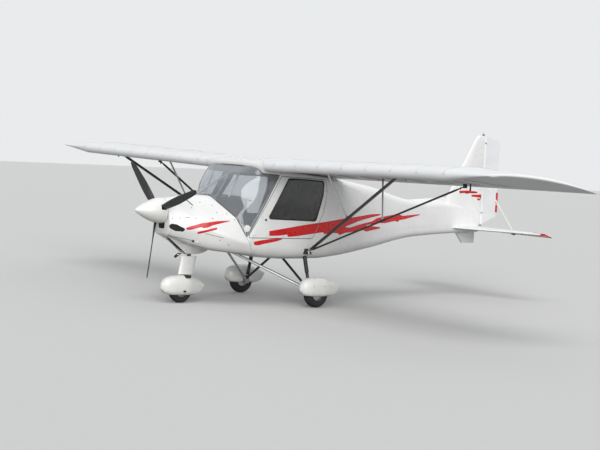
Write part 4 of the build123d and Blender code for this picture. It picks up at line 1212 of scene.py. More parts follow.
def hinged_ring(nose_r, back, rear_half, dip, notched):
    """A control surface's ring as (ahead of the hinge line, half width), its nose round."""
    nose = [(nose_r * cos(a), nose_r * sin(a)) for a in np.linspace(pi / 2, -pi / 2, 11)]
    share = np.linspace(0, 1, 9)
    side = np.stack([-back * share, nose_r + (rear_half - nose_r) * share - dip * np.sin(pi * share)], axis=1)
    ring = np.vstack([nose, (side * (1, -1))[1:], side[:0:-1]])
    if notched:
        ring[:, 0] = np.minimum(ring[:, 0], -0.022)
    return ring


# Strake ahead of the fin: x, z of its top, half width
FIN_STRAKE = ((-1.235, 1.330, 0.004), (-1.40, 1.349, 0.012), (-1.75, 1.372, 0.018), (-2.085, 1.394, 0.020))


class BuildTail(bpy.types.Operator):
    """Build the fin, the rudder, the tailplane and the elevator"""

    bl_idname = "aircraft.build_tail"
    bl_label = "Tail surfaces"

    def execute(self, context):
        self.fin()
        self.rudder()
        self.tailplane()
        self.elevator()
        return {"FINISHED"}

    def fin(self):
        """The fin with the strake that leads up to it, and the rudder's hinges."""
        rings = []
        levels = [(z, 0, 1) for z in np.linspace(FIN_Z[0], 2.290, 20)]
        for z, inset, shrink in (*levels, (2.298, 0.004, 0.8), (2.302, 0.012, 0.4)):
            lead, thick = fin_at(z)
            corner = min(max(0, (z - 2.258) / 0.045), 1)
            lead = lead - inset - 0.045 * (1 - sqrt(1 - corner**2))
            behind, half = fin_section(lead - FIN_REAR_X, thick, FIN_REAR_THICK)
            ring = both_faces(behind, half * shrink)
            rings.append(np.stack([lead - ring[:, 0], ring[:, 1], np.full(len(ring), z)], axis=1))
        mesh = loft_mesh(rings)
        strake = []
        for x, top, half in FIN_STRAKE:
            upper = [(x, half * 0.6, top - 0.008), (x, 0, top), (x, -half * 0.6, top - 0.008)]
            strake.append([(x, half, 1.22), *upper, (x, -half, 1.22)])
        join_into(mesh, loft_mesh(strake))
        piece("fin_skin", mesh, "gelcoat", ["fin"])
        for z in RUDDER_HINGES:
            bracket = box_mesh((-2.803, -0.004, z - 0.009), (-2.760, 0.004, z + 0.009))
            tube_mesh((RUDDER_AXIS_X, 0, z - 0.014), (RUDDER_AXIS_X, 0, z + 0.014), 0.005, bracket)
            piece(f"rudder_hinge_{round(z * 100)}", bracket, "zinc_plate", soften=0.0008)

    def rudder(self):
        """The rudder, whose ribs slope down to its trailing edge at the top."""
        rings = []
        foot, top = RUDDER_Z
        for z, notched in stations(RUDDER_Z, RUDDER_HINGES, 0.04):
            share = (z - foot) / (top - foot)
            trail = 1.134 + share * (2.238 - 1.134)
            back = RUDDER_CHORD - max(0, (share - 0.965) / 0.035) * 0.030
            dip = 0.0035 * sin(pi * ((z - foot) / 0.254 % 1.0)) ** 2
            ring = hinged_ring(0.017, back, 0.003, dip, notched)
            across = np.clip(-ring[:, 0] / RUDDER_CHORD, 0, 1)
            rings.append(np.stack([RUDDER_AXIS_X + ring[:, 0], ring[:, 1], z + across * (trail - z)], axis=1))
        piece("rudder_cover", loft_mesh(rings), "tail_cloth", ["rudder"], "rudder_body")

    def tailplane(self):
        """Both halves of the tailplane, dipped between their ribs."""
        rings = []
        for y in np.append(np.linspace(0.02, 1.225, 44), (1.236, 1.240)):
            share = (y - 0.02) / 1.22
            lead = -2.058 + share * (-2.662 + 2.058)
            shrink = 1 if y < 1.23 else (0.8 if y < 1.238 else 0.35)
            dip = 0.003 * sin(pi * (y / TAIL_RIB_SPACING % 1.0)) ** 2
            behind, half = fin_section(lead + 2.722, 0.046 - 0.020 * share, 0.026 - 0.004 * share, dip)
            ring = both_faces(behind, half * shrink)
            rings.append(np.stack([lead - ring[:, 0], np.full(len(ring), y), TAIL_Z + ring[:, 1]], axis=1))
        piece("tailplane_cover", with_mirror(loft_mesh(rings)), "tail_cloth", ["tailplane"])

    def elevator(self):
        """Both halves of the elevator on their tube, hanging down as the record's rest pose has them."""
        rings = []
        for y, notched in stations(ELEVATOR_Y, ELEVATOR_HINGES, 0.035):
            dip = 0.002 * sin(pi * (y / TAIL_RIB_SPACING % 1.0)) ** 2
            back = 0.206 - max(0, (y - 1.250) / 0.040) * 0.040
            ring = hinged_ring(0.014, back, 0.003, dip, notched)
            x = ELEVATOR_AXIS_X + ring[:, 0]
            rings.append(np.stack([x, np.full(len(ring), y), TAIL_Z + ring[:, 1]], axis=1))
        mesh = with_mirror(loft_mesh(rings))
        tube_mesh((ELEVATOR_AXIS_X, -0.13, TAIL_Z), (ELEVATOR_AXIS_X, 0.13, TAIL_Z), 0.011, mesh)
        axis = Matrix.Translation((ELEVATOR_AXIS_X, 0, TAIL_Z))
        mesh.transform(axis @ Matrix.Rotation(radians(-ELEVATOR_DROOP), 4, "Y") @ axis.inverted())
        obj = piece("elevator_cover", mesh, "tail_cloth", ["elevator"], "elevator_body")
        obj.data.materials.append(FINISHES["red_film"])
        for face in obj.data.polygons:
            reach = abs(face.center.y)
            if reach > 1.10 or (reach > 0.30 and face.normal.z < -0.5 and face.center.x < -2.80):
                face.material_index = 1


# Undercarriage. Pant rows: x ahead of the axle, half width, z low, z high
MAIN_PANT = ((0.250, 0.028, 0.205, 0.280), (0.212, 0.070, 0.162, 0.338), (0.110, 0.098, 0.136, 0.374),
             (-0.060, 0.100, 0.132, 0.380), (-0.220, 0.064, 0.138, 0.336), (-0.325, 0.029, 0.166, 0.298),
             (-0.382, 0.009, 0.236, 0.268))
NOSE_PANT = ((0.278, 0.026, 0.165, 0.250), (0.228, 0.070, 0.122, 0.303), (0.110, 0.096, 0.094, 0.338),
             (-0.050, 0.100, 0.089, 0.344), (-0.205, 0.060, 0.095, 0.302), (-0.298, 0.027, 0.121, 0.260),
             (-0.350, 0.009, 0.184, 0.222))


def pant_mesh(table, axle, slot_half, slot_reach):
    """A wheel fairing: a teardrop with a flat foot and a slot for the tyre."""
    table = np.array(table)
    angles = np.linspace(0, 2 * pi, 48, endpoint=False)
    c, s = np.cos(angles), np.sin(angles)
    power = np.where(s > 0, 0.86, 0.62)
    shape = np.stack([np.sign(c) * np.abs(c) ** power, np.sign(s) * np.abs(s) ** power], axis=1)
    keys = spaced(table[0, 0], table[-1, 0], 0.012)
    rows = monotone(table[:, 0], table[:, 1:], keys)
    rings = [(key, half, (low + high) / 2, (high - low) / 2) for key, (half, low, high) in zip(keys, rows)]
    x, half, middle, tall = rings[0]
    nose = [(x + 0.008, half * 0.30, middle, tall * 0.45), (x + 0.0055, half * 0.7, middle, tall * 0.8)]
    x, half, middle, tall = rings[-1]
    tail = (x - 0.006, half * 0.5, middle, tall * 0.5)
    grid = []
    for x, half, middle, tall in (*nose, *rings, tail):
        out = axle[1] + half * shape[:, 0]
        grid.append(np.stack([np.full(48, axle[0] + x), out, middle + tall * shape[:, 1]], axis=1))
    mesh = loft_mesh(grid)
    corners = ((-1, -1), (1, -1), (1, 1), (-1, 1))
    slot = rounded([(slot_reach * along_x, slot_half * across) for along_x, across in corners], 0.03)

    def keeps(points):
        flat = outline_distance(points[:, :2] - np.array(axle[:2]), slot)
        return np.where(points[:, 2] < axle[2], -flat, 1.0)

    clip(mesh, keeps)
    return mesh


TREAD_GROOVES = (-0.020, 0.0, 0.020)
RIM_R = 0.076


def tyre_mesh(axle, width):
    """A grooved tyre about an axle that is as high as the tyre's radius."""
    return turned_mesh(tyre_profile(axle[2], width, RIM_R), axle, (0, 1, 0), 96)


def tyre_profile(radius, width, rim):
    """A tyre section as (along the axle, radius), with three grooves round its tread."""
    half = width / 2
    outer = []
    for angle in np.linspace(-pi / 2, pi / 2, 31):
        y = half * sin(angle)
        r = rim + (radius - rim) * (0.50 + 0.50 * abs(cos(angle)) ** 0.55)
        if any(abs(y - groove) < 0.0026 for groove in TREAD_GROOVES):
            r -= 0.0045
        outer.append((y, r))
    for groove in TREAD_GROOVES:
        for e, deep in ((-0.0030, 0), (-0.0024, 0.0045), (0.0024, 0.0045), (0.0030, 0)):
            y = groove + e
            angle = np.arcsin(y / half)
            outer.append((y, rim + (radius - rim) * (0.50 + 0.50 * cos(angle) ** 0.55) - deep))
    outer = sorted(outer)
    low = rim + 0.006
    bead = [(half * 0.80, rim + 0.012), (half * 0.66, rim), (half * 0.55, low)]
    return outer + bead + [(-y, r) for y, r in reversed(bead)]


class BuildWheels(bpy.types.Operator):
    """Build the wheel fairings and the tyres"""

    bl_idname = "aircraft.build_wheels"
    bl_label = "Wheels and fairings"

    def execute(self, context):
        finish = dict(wall=0.003, soften=0.0008)
        pant = pant_mesh(MAIN_PANT, MAIN_AXLE, 0.066, 0.176)
        both_sides("main_pant_{}_skin", pant, "spinner_gelcoat", ["main_pant_{}"], **finish)
        x, y, z = MAIN_AXLE
        for name, side in SIDES:
            tyre = tyre_mesh((x, y * side, z), 0.118)
            piece(f"main_tyre_{name}_tread", tyre, "tyre_rubber", [f"main_tyre_{name}"], f"main_wheel_{name}")
        pant = pant_mesh(NOSE_PANT, NOSE_AXLE, 0.060, 0.160)
        piece("nose_pant_skin", pant, "spinner_gelcoat", ["nose_pant"], "nose_leg", **finish)
        piece("nose_tyre_tread", tyre_mesh(NOSE_AXLE, 0.106), "tyre_rubber", ["nose_tyre"], "nose_wheel")
        return {"FINISHED"}


# Propeller: radius, chord, thickness and pitch angle
BLADE = np.array([
    (0.048, 0.050, 0.044, 60), (0.120, 0.056, 0.034, 55), (0.200, 0.086, 0.024, 48),
    (0.420, 0.098, 0.014, 32), (0.650, 0.082, 0.010, 23), (0.800, 0.062, 0.007, 19),
    (0.845, 0.048, 0.005, 18), (0.860, 0.020, 0.003, 17),
])
# Spinner: x and radius
SPINNER = np.array([
    (2.724, 0.157), (2.790, 0.1525), (2.880, 0.130), (2.968, 0.092), (3.040, 0.052), (3.080, 0.024),
    (3.094, 0.011), (3.0995, 0.0),
])
SPINNER_SIDES = 120


def about_prop(degrees):
    """A turn about the propeller's axis."""
    place = Matrix.Translation((PROP_X, 0, PROP_Z))
    return place @ Matrix.Rotation(radians(degrees), 4, "X") @ place.inverted()


class BuildPropeller(bpy.types.Operator):
    """Build the propeller blades and the spinner"""

    bl_idname = "aircraft.build_propeller"
    bl_label = "Propeller"

    def execute(self, context):
        rings = []
        angles = np.linspace(0, 2 * pi, 28, endpoint=False)
        radii = np.concatenate([np.linspace(0.048, 0.80, 40), [0.815, 0.83, 0.842, 0.851, 0.857, 0.860]])
        for radius, (chord, thick, pitch) in zip(radii, monotone(BLADE[:, 0], BLADE[:, 1:], radii)):
            pitch = radians(pitch)
            lead = np.array([sin(pitch), -cos(pitch), 0])
            up = np.array([cos(pitch), sin(pitch), 0])
            along = chord / 2 * np.cos(angles)
            sharp = 1 - 0.35 * np.clip(-np.cos(angles), 0, 1)
            high = np.where(np.sin(angles) > 0, 0.7, 0.3) * thick * np.sin(angles) * sharp
            rings.append(np.array([PROP_X, 0, PROP_Z + radius]) + along[:, None] * lead + high[:, None] * up)
        blade = loft_mesh(rings)
        mesh = bmesh.new()
        for turn in range(3):
            copy = blade.copy()
            copy.transform(about_prop(BLADE_TURN + 120 * turn))
            join_into(mesh, copy)
        blade.free()
        tube_mesh((2.7285, 0, PROP_Z), (2.812, 0, PROP_Z), 0.062, mesh, steps=48)
        tube_mesh((2.624, 0, PROP_Z), (PROP_X, 0, PROP_Z), 0.025, mesh, steps=32)
        tube_mesh((2.724, 0, PROP_Z), (2.730, 0, PROP_Z), 0.151, mesh, steps=96)
        piece("propeller_blades", mesh, "black_composite", ["propeller"], body="propeller_unit", soften=0.001)

        keys = np.concatenate([spaced(2.724, 3.08, 0.008), [3.086, 3.091, 3.095, 3.0975, 3.099]])
        radius = monotone(SPINNER[:, 0], SPINNER[:, 1:], keys)[:, 0]
        angles = np.linspace(0, 2 * pi, SPINNER_SIDES, endpoint=False)
        grid = [
            np.stack([np.full(SPINNER_SIDES, x), r * np.cos(angles), PROP_Z + r * np.sin(angles)], axis=1)
            for x, r in zip(keys, radius)
        ]
        mesh = sheet_mesh(grid, wrap=True)
        tip = mesh.verts.new((SPINNER[-1, 0], 0, PROP_Z))
        mesh.verts.ensure_lookup_table()
        last = mesh.verts[-1 - SPINNER_SIDES : -1]
        for a, b in zip(last, last[1:] + last[:1]):
            mesh.faces.new((a, b, tip))
        bmesh.ops.recalc_face_normals(mesh, faces=mesh.faces)
        mesh.faces.ensure_lookup_table()
        face = mesh.faces[0]
        if face.normal.dot(face.calc_center_median() - Vector((2.8, 0, PROP_Z))) < 0:
            bmesh.ops.reverse_faces(mesh, faces=mesh.faces)
        gap = rounded([(2.738, -0.034), (2.812, -0.034), (2.812, 0.034), (2.738, 0.034)], 0.012)
        for turn in range(3):
            angle = pi / 2 + radians(BLADE_TURN + 120 * turn)

            def keeps(points, angle=angle):
                y, z = points[:, 1], points[:, 2] - PROP_Z
                out = y * cos(angle) + z * sin(angle)
                across = -y * sin(angle) + z * cos(angle)
                flat = outline_distance(np.stack([points[:, 0], across], axis=1), gap)
                return np.where(out > 0.05, -flat, 1.0)

            clip(mesh, keeps)
        piece("spinner_skin", mesh, "spinner_gelcoat", ["spinner"], body="propeller_unit",
              slot="spinner_white", wall=0.0025, soften=0.0008)
        return {"FINISHED"}


# Paths and places on the skin
def skin_y(x, z):
    """Half width of the fuselage's skin at a place of the side view."""
    key = x
    for _ in range(4):
        row = skin_rows([key])[0]
        key = x - row[1] * (z - FOOT_Z)
    half = half_section(row)
    return float(np.interp(z, half[:, 1], half[:, 0]))


def skin_out(x, z, reach=0.004):
    """The outward direction of the left skin at a place of the side view."""
    slope_x = (skin_y(x + reach, z) - skin_y(x - reach, z)) / (2 * reach)
    slope_z = (skin_y(x, z + reach) - skin_y(x, z - reach)) / (2 * reach)
    return unit(np.array([-slope_x, 1.0, -slope_z]))


def along(points, step=0.015):
    """Points evenly along a polyline."""
    points = np.asarray(points, float)
    run = np.concatenate([[0], np.cumsum(np.linalg.norm(np.diff(points, axis=0), axis=1))])
    where = np.linspace(0, run[-1], max(2, int(run[-1] / step) + 1))
    return np.stack([np.interp(where, run, column) for column in points.T], axis=1)


def on_skin(points, lift=0.0, step=0.015):
    """A side-view polyline laid on the left skin."""
    return [(x, skin_y(x, z) + lift, z) for x, z in along(points, step)]


def geometry_tree(name, inputs):
    """An empty Geometry Nodes tree with a mesh in, named inputs and a mesh out."""
    tree = bpy.data.node_groups.new(name, "GeometryNodeTree")
    tree.interface.new_socket("Geometry", in_out="INPUT", socket_type="NodeSocketGeometry")
    for label, kind in inputs:
        tree.interface.new_socket(label, in_out="INPUT", socket_type=kind)
    tree.interface.new_socket("Geometry", in_out="OUTPUT", socket_type="NodeSocketGeometry")
    return tree, add_node(tree, "NodeGroupInput").outputs


def end_tree(tree, geometry, material):
    """Close a tree with Realize Instances and Set Material."""
    real = add_node(tree, "GeometryNodeRealizeInstances", {"Geometry": geometry})
    named = add_node(tree, "GeometryNodeSetMaterial", {"Geometry": real.outputs[0], "Material": material})
    add_node(tree, "NodeGroupOutput", {"Geometry": named.outputs[0]})
    return tree


def trim_tree():
    """A round cord along every edge path of the mesh."""
    tree, start = geometry_tree("trim_along_paths", (
        ("Radius", "NodeSocketFloat"), ("Sides", "NodeSocketInt"), ("Material", "NodeSocketMaterial")))
    path = add_node(tree, "GeometryNodeMeshToCurve", {"Mesh": start["Geometry"]})
    circle = add_node(tree, "GeometryNodeCurvePrimitiveCircle",
                      {"Radius": start["Radius"], "Resolution": start["Sides"]})
    tube = add_node(tree, "GeometryNodeCurveToMesh",
                    {"Curve": path.outputs[0], "Profile Curve": circle.outputs["Curve"]}, {"Fill Caps": True})
    return end_tree(tree, tube.outputs[0], start["Material"])


def heads_tree():
    """A low tapered head on every point of the mesh, standing along the point's out attribute."""
    tree, start = geometry_tree("heads_on_points", (
        ("Radius", "NodeSocketFloat"), ("Top", "NodeSocketFloat"), ("Height", "NodeSocketFloat"),
        ("Sides", "NodeSocketInt"), ("Material", "NodeSocketMaterial")))
    head = add_node(tree, "GeometryNodeMeshCone", {
        "Radius Bottom": start["Radius"], "Radius Top": start["Top"], "Depth": start["Height"],
        "Vertices": start["Sides"]})
    out = add_node(tree, "GeometryNodeInputNamedAttribute", values={"Name": "out"}, data_type="FLOAT_VECTOR")
    turn = add_node(tree, "FunctionNodeAlignRotationToVector", {"Vector": out.outputs["Attribute"]}, axis="Z")
    heads = add_node(tree, "GeometryNodeInstanceOnPoints", {
        "Points": start["Geometry"], "Instance": head.outputs["Mesh"], "Rotation": turn.outputs["Rotation"]})
    return end_tree(tree, heads.outputs[0], start["Material"])


TREES = {}


def grown(name, verts, edges, tree, values, outs=None):
    """What a Geometry Nodes tree makes of points and edges, as a bmesh."""
    data = bpy.data.meshes.new(name + "_guide")
    data.from_pydata([tuple(v) for v in verts], edges, [])
    if outs is not None:
        field = data.attributes.new("out", "FLOAT_VECTOR", "POINT")
        field.data.foreach_set("vector", np.asarray(outs, float).ravel())
    guide = placed(name + "_guide", data)
    modifier = guide.modifiers.new("grow", "NODES")
    modifier.node_group = tree
    for item in tree.interface.items_tree:
        if item.in_out == "INPUT" and item.name in values:
            modifier[item.identifier] = values[item.name]
    depsgraph = bpy.context.evaluated_depsgraph_get()
    made = bpy.data.meshes.new_from_object(guide.evaluated_get(depsgraph), depsgraph=depsgraph)
    mesh = bmesh.new()
    mesh.from_mesh(made)
    bpy.data.objects.remove(guide)
    bpy.data.meshes.remove(data)
    bpy.data.meshes.remove(made)
    bmesh.ops.recalc_face_normals(mesh, faces=mesh.faces)
    return mesh


def trim(name, paths, radius, material, signs=(1, -1), sides=6, **form):
    """A round cord along polylines of the left side and, unless told otherwise, of the right side too."""
    verts, edges = [], []
    for path in paths:
        for sign in signs:
            first = len(verts)
            verts += [(x, sign * y, z) for x, y, z in path]
            edges += [(i, i + 1) for i in range(first, len(verts) - 1)]
    values = {"Radius": radius, "Sides": sides, "Material": FINISHES[material]}
    piece(name, grown(name, verts, edges, TREES["trim"], values), material, **form)


def heads(name, spots, radius, height, material, signs=(1, -1), sides=10, top=0.8, **form):
    """Low heads on points of the left side, each a place and its outward direction, mirrored as trim is."""
    verts = [(x, sign * y, z) for (x, y, z), _ in spots for sign in signs]
    outs = [(a, sign * b, c) for _, (a, b, c) in spots for sign in signs]
    values = {"Radius": radius, "Top": radius * top, "Height": height, "Sides": sides,
              "Material": FINISHES[material]}
    piece(name, grown(name, verts, [], TREES["heads"], values, outs), material, **form)


def skin_spots(points):
    """Places on the left skin, each with its outward direction."""
    return [((x, skin_y(x, z), z), skin_out(x, z)) for x, z in points]


# Marks read off the photograph, side views (x, z)
COWL_SCREWS = (
    (2.680, 1.053), (2.614, 1.062), (2.442, 1.071), (2.253, 1.075), (2.159, 1.223), (2.157, 1.145),
    (2.046, 1.133), (1.985, 1.070), (2.167, 0.815), (2.060, 0.760), (2.440, 1.190), (2.300, 1.255),
)
COWL_SEAMS = (
    ((2.690, 0.846), (2.611, 0.824), (2.500, 0.807), (2.452, 0.791)),
    ((2.557, 0.772), (2.453, 0.745), (2.293, 0.711)),
    ((2.346, 0.889), (2.240, 0.868), (2.133, 0.843)),
)
HATCH_SEAMS = (((0.300, 1.535), (-0.060, 1.448)), ((0.310, 1.330), (0.300, 1.120)))
SHELL_SEAMS = (((0.628, 1.330), (0.662, 1.178)), ((0.372, 1.330), (0.430, 1.140)))
DOOR_SCREWS = (
    (1.760, 0.885), (1.560, 0.874), (1.300, 0.874), (1.060, 0.872), (0.870, 0.872), (0.745, 1.020),
    (0.680, 1.240), (0.645, 1.450), (1.640, 1.110), (1.480, 1.370),
)
CORNER_VENT = (1.838, 0.966)


class BuildTrim(bpy.types.Operator):
    """Add the seams, screws, seals and vents of the fuselage"""

    bl_idname = "aircraft.build_trim"
    bl_label = "Fuselage trim"

    def execute(self, context):
        trim("cowl_seams", [on_skin(path) for path in COWL_SEAMS], 0.0024, "seal_rubber")
        trim("shell_seams", [on_skin(path) for path in HATCH_SEAMS + SHELL_SEAMS], 0.0014, "seam_and_shade_grey")
        # A black cord for the slit in the cowl: painted shade of the opening
        trim("cowl_slit_shade", [on_skin([(2.459, 1.276), (2.412, 1.216)])], 0.0062, "seal_rubber", sides=10)
        trim("cowl_latch", [on_skin([(2.562, 1.072), (2.508, 1.075)])], 0.0036, "zinc_plate", sides=8)
        heads("cowl_screws", skin_spots(COWL_SCREWS), 0.0078, 0.0034, "zinc_plate", sides=12)
        # A black disc beside the breather knob: painted shade of its recess
        heads("breather_recess_shade", skin_spots([(2.446, 0.789)]), 0.017, 0.006, "seal_rubber", sides=16)
        heads("breather_knob", skin_spots([(2.405, 0.781)]), 0.012, 0.026, "antenna_white", sides=16, top=0.6)
        self.windscreen()
        self.doors()
        self.exhaust()
        return {"FINISHED"}

    def windscreen(self):
        """Rubber along the windscreen's edges, a deep blue band in its top as painted reflection, and the
        round vent in its lower corner.
        """
        foot = on_skin([(foot_line(z), z) for z in np.linspace(0.868, 1.318, 40)], 0.0005)
        rear = on_skin([(1.842, 0.866), (1.402, 1.626)], 0.0005)
        trim("windscreen_rubber", [foot, rear], 0.0042, "seal_rubber")
        lip = along([row[0] for row in HOOD], 0.02) + (0.0, 0.0, -0.001)
        trim("windscreen_top_rubber", [lip], 0.0055, "seal_rubber")
        # A deep blue band under the hood's edge: painted reflection
        keys = GLASS_ROWS[GLASS_ROWS > 1.50]
        mesh = panel(keys, side_view(GLASS_EDGE, -0.012), lambda points: points[:, 2] - 1.640)
        piece("windscreen_reflection_band", raised(mesh, -0.0045), "blue_reflection_tint", wall=0.0006)
        (x, z), out = CORNER_VENT, skin_out(*CORNER_VENT)
        spot = np.array((x, skin_y(x, z) - 0.004, z))
        heads("corner_vent", [(spot, out)], 0.043, 0.010, "antenna_white", sides=40, top=0.92)
        cap = spot + out * 0.006
        heads("corner_vent_cap", [(cap, out)], 0.030, 0.008, "antenna_white", sides=32, top=0.85)

    def doors(self):
        """Window gaskets, door edge seals, locks and screws; each door's parts ride on it."""
        gasket = skin_patch(spaced(1.60, 0.60, 0.006), 1.05, 1.60)
        clip(gasket, side_view(WINDOW_EDGE, 0.010))
        clip(gasket, outside(side_view(WINDOW_EDGE, -0.007)))
        both_sides("window_gasket_{}", raised(gasket, 0.0007), "seal_rubber", body="cabin_door_{}",
                   wall=0.0012, offset=1.0)
        bead = on_skin(np.vstack([WINDOW_EDGE, WINDOW_EDGE[:1]]), 0.001)
        lock, screws = skin_spots([(1.584, 1.078)]), skin_spots(DOOR_SCREWS)
        for name, side in SIDES:
            own = dict(body=f"cabin_door_{name}", signs=(side,))
            trim(f"window_bead_{name}", [bead], 0.0028, "seal_rubber", **own)
            heads(f"door_lock_{name}", lock, 0.014, 0.012, "black_tube", sides=20, **own)
            heads(f"door_screws_{name}", screws, 0.0052, 0.0024, "zinc_plate", **own)
        seal = on_skin(np.vstack([DOOR_EDGE, DOOR_EDGE[:1]]), -0.006)
        trim("door_seals", [seal], 0.0048, "seal_rubber")

    def exhaust(self):
        """Clamp and lip of the exhaust pipe, and the fittings under the scoop."""
        low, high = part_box("exhaust_pipe")
        middle = [(a + b) / 2 for a, b in zip(low, high)]
        ring = turned_mesh([(-0.007, 0.0215), (-0.007, 0.0265), (0.007, 0.0265), (0.007, 0.0215)],
                           (middle[0], middle[1], low[2] + 0.045), (0, 0, 1), 40)
        piece("exhaust_clamp", ring, "silver_tube", soften=0.001)
        box = box_mesh((2.318, -0.030, 0.600), (2.352, 0.030, 0.620))
        tube_mesh((2.300, -0.040, 0.606), (2.300, 0.040, 0.606), 0.008, box)
        piece("scoop_bracket", box, "black_tube", soften=0.002)


TIE_DOWN = (1.530, 3.030, 1.718)


class BuildWingFittings(bpy.types.Operator):
    """Add the rib lacing, hinges, horns and tie-down eyes of the wings"""

    bl_idname = "aircraft.build_wing_fittings"
    bl_label = "Wing fittings"

    def execute(self, context):
        spacing = sizes().rib_spacing
        rib_y = [y for y in CENTRE_HALF + spacing * np.arange(1, 9) if y < WING_FULL_Y + 0.01]
        chord = np.linspace(1.520, 0.690, 24)
        under = [[(x, y, wing_floor(x) + rise_at(y) - 0.0006) for x in chord] for y in rib_y]
        trim("rib_lacing", under, 0.0022, "lacing_grey")
        self.tapes(rib_y, spacing)
        # A grey line under the leading edge: painted shade where the nose turns under
        band = [(1.548, y, 1.7122 + rise_at(y)) for y in np.linspace(CENTRE_HALF + 0.01, WING_FULL_Y, 60)]
        trim("leading_edge_shade_line", [band], 0.0016, "seam_and_shade_grey", slot="wing_fabric")
        for kind, (_, _, _, hinges) in TRAILING.items():
            mesh = bmesh.new()
            for y in hinges:
                z = camber_z(SURFACE_AXIS_X) + rise_at(y)
                box_mesh((0.608, y - 0.003, z - 0.010), (0.684, y + 0.003, z + 0.010), mesh)
                pin = (SURFACE_AXIS_X, y - 0.009, z), (SURFACE_AXIS_X, y + 0.009, z)
                tube_mesh(*pin, 0.006, mesh, steps=14)
            both_sides(kind + "_hinges_{}", mesh, "zinc_plate", soften=0.0008)
        x, y, z = TIE_DOWN
        eye_ring = [(-0.004, 0.009), (-0.004, 0.019), (0.004, 0.019), (0.004, 0.009)]
        eyes = turned_mesh(eye_ring, TIE_DOWN, (1, 0, 0), 28)
        tube_mesh((x, y, z + 0.016), (x, y, z + 0.048), 0.007, eyes, steps=14)
        piece("tie_down_eyes", with_mirror(eyes), "zinc_plate", soften=0.0008)
        z = 1.640 + rise_at(3.180)
        arm = box_mesh((0.690, 3.203, z - 0.070), (0.708, 3.210, z + 0.012))
        tube_mesh((0.699, 3.196, z - 0.058), (0.699, 3.217, z - 0.058), 0.006, arm, steps=12)
        both_sides("aileron_arm_{}", arm, "black_tube", soften=0.0012)
        return {"FINISHED"}

    def tapes(self, rib_y, spacing):
        """Finishing tapes over the ribs: strips of cloth that follow the wing section, a little greyer than
        the cloth as painted shade.
        """
        profile = wing_profile()
        keep = profile[profile[:, 0] > 0.70]
        top = keep[: np.argmax(keep[:, 0]) + 1]
        mesh = bmesh.new()
        for y in rib_y:
            places_y = y + np.array((-0.013, -0.004, 0.004, 0.013))
            rows = [wing_ring(place, top, 0, spacing) + (0.0, 0.0, 0.0008) for place in places_y]
            join_into(mesh, facing(sheet_mesh(rows), (0, 0, 1)))
        both_sides("rib_tapes_{}", mesh, "shaded_rib_tape", wall=0.0009)


# Struts and undercarriage
def strut_mesh(start, end, chord, thick, low, high, taper=0.0, mesh=None):
    """A streamlined bar over a part of the line between two points; taper narrows its last stretch."""
    start, end = np.asarray(start, float), np.asarray(end, float)
    axis = unit(end - start)
    fore = unit(np.array([1.0, 0, 0]) - axis[0] * axis)
    side = np.cross(axis, fore)
    angles = np.linspace(0, 2 * pi, 24, endpoint=False)
    length = np.linalg.norm(end - start)
    rings = []
    middle = np.linspace(low + 0.01, high - 0.03, 8)
    for share in (low, low + 0.004, *middle, high - 0.02, high - 0.01, high - 0.002, high):
        shrink = 0.86 if share in (low, high) else 1.0
        if taper and share > high - 0.025:
            shrink *= 1 - taper * (share - high + 0.025) / 0.025
        along_chord = chord / 2 * np.cos(angles) * shrink
        across = thick / 2 * np.sin(angles) * shrink * (1 - 0.25 * np.clip(-np.cos(angles), 0, 1))
        rings.append(start + axis * share * length + along_chord[:, None] * fore + across[:, None] * side)
    made = loft_mesh(rings)
    if mesh is None:
        return made
    join_into(mesh, made)
    return mesh


FRONT_FOOT = (0.903, 0.636, 0.690)
# Screws of the main fairings: x, distance out from the wheel's middle, z
FAIRING_SCREWS = ((0.995, 0.096, 0.272), (0.825, 0.098, 0.272), (0.700, 0.070, 0.270), (1.080, 0.068, 0.268))
BRAKE_HOSE = (
    (1.60, 0.105, 0.606), (1.30, 0.351, 0.441), (1.00, 0.598, 0.275), (0.93, 0.650, 0.225),
    (0.885, 0.700, 0.215),
)
FRONT_TOP = (1.553, 2.970, 1.770)
REAR_TOP = (0.740, 3.162, 1.665)
# Struts: name, top, chord, thickness, and the shares of the line that their tube covers
STRUTS = (
    ("front_strut", FRONT_TOP, 0.062, 0.026, 0.035, 0.962),
    ("rear_strut", REAR_TOP, 0.046, 0.022, 0.035, 0.966),
)


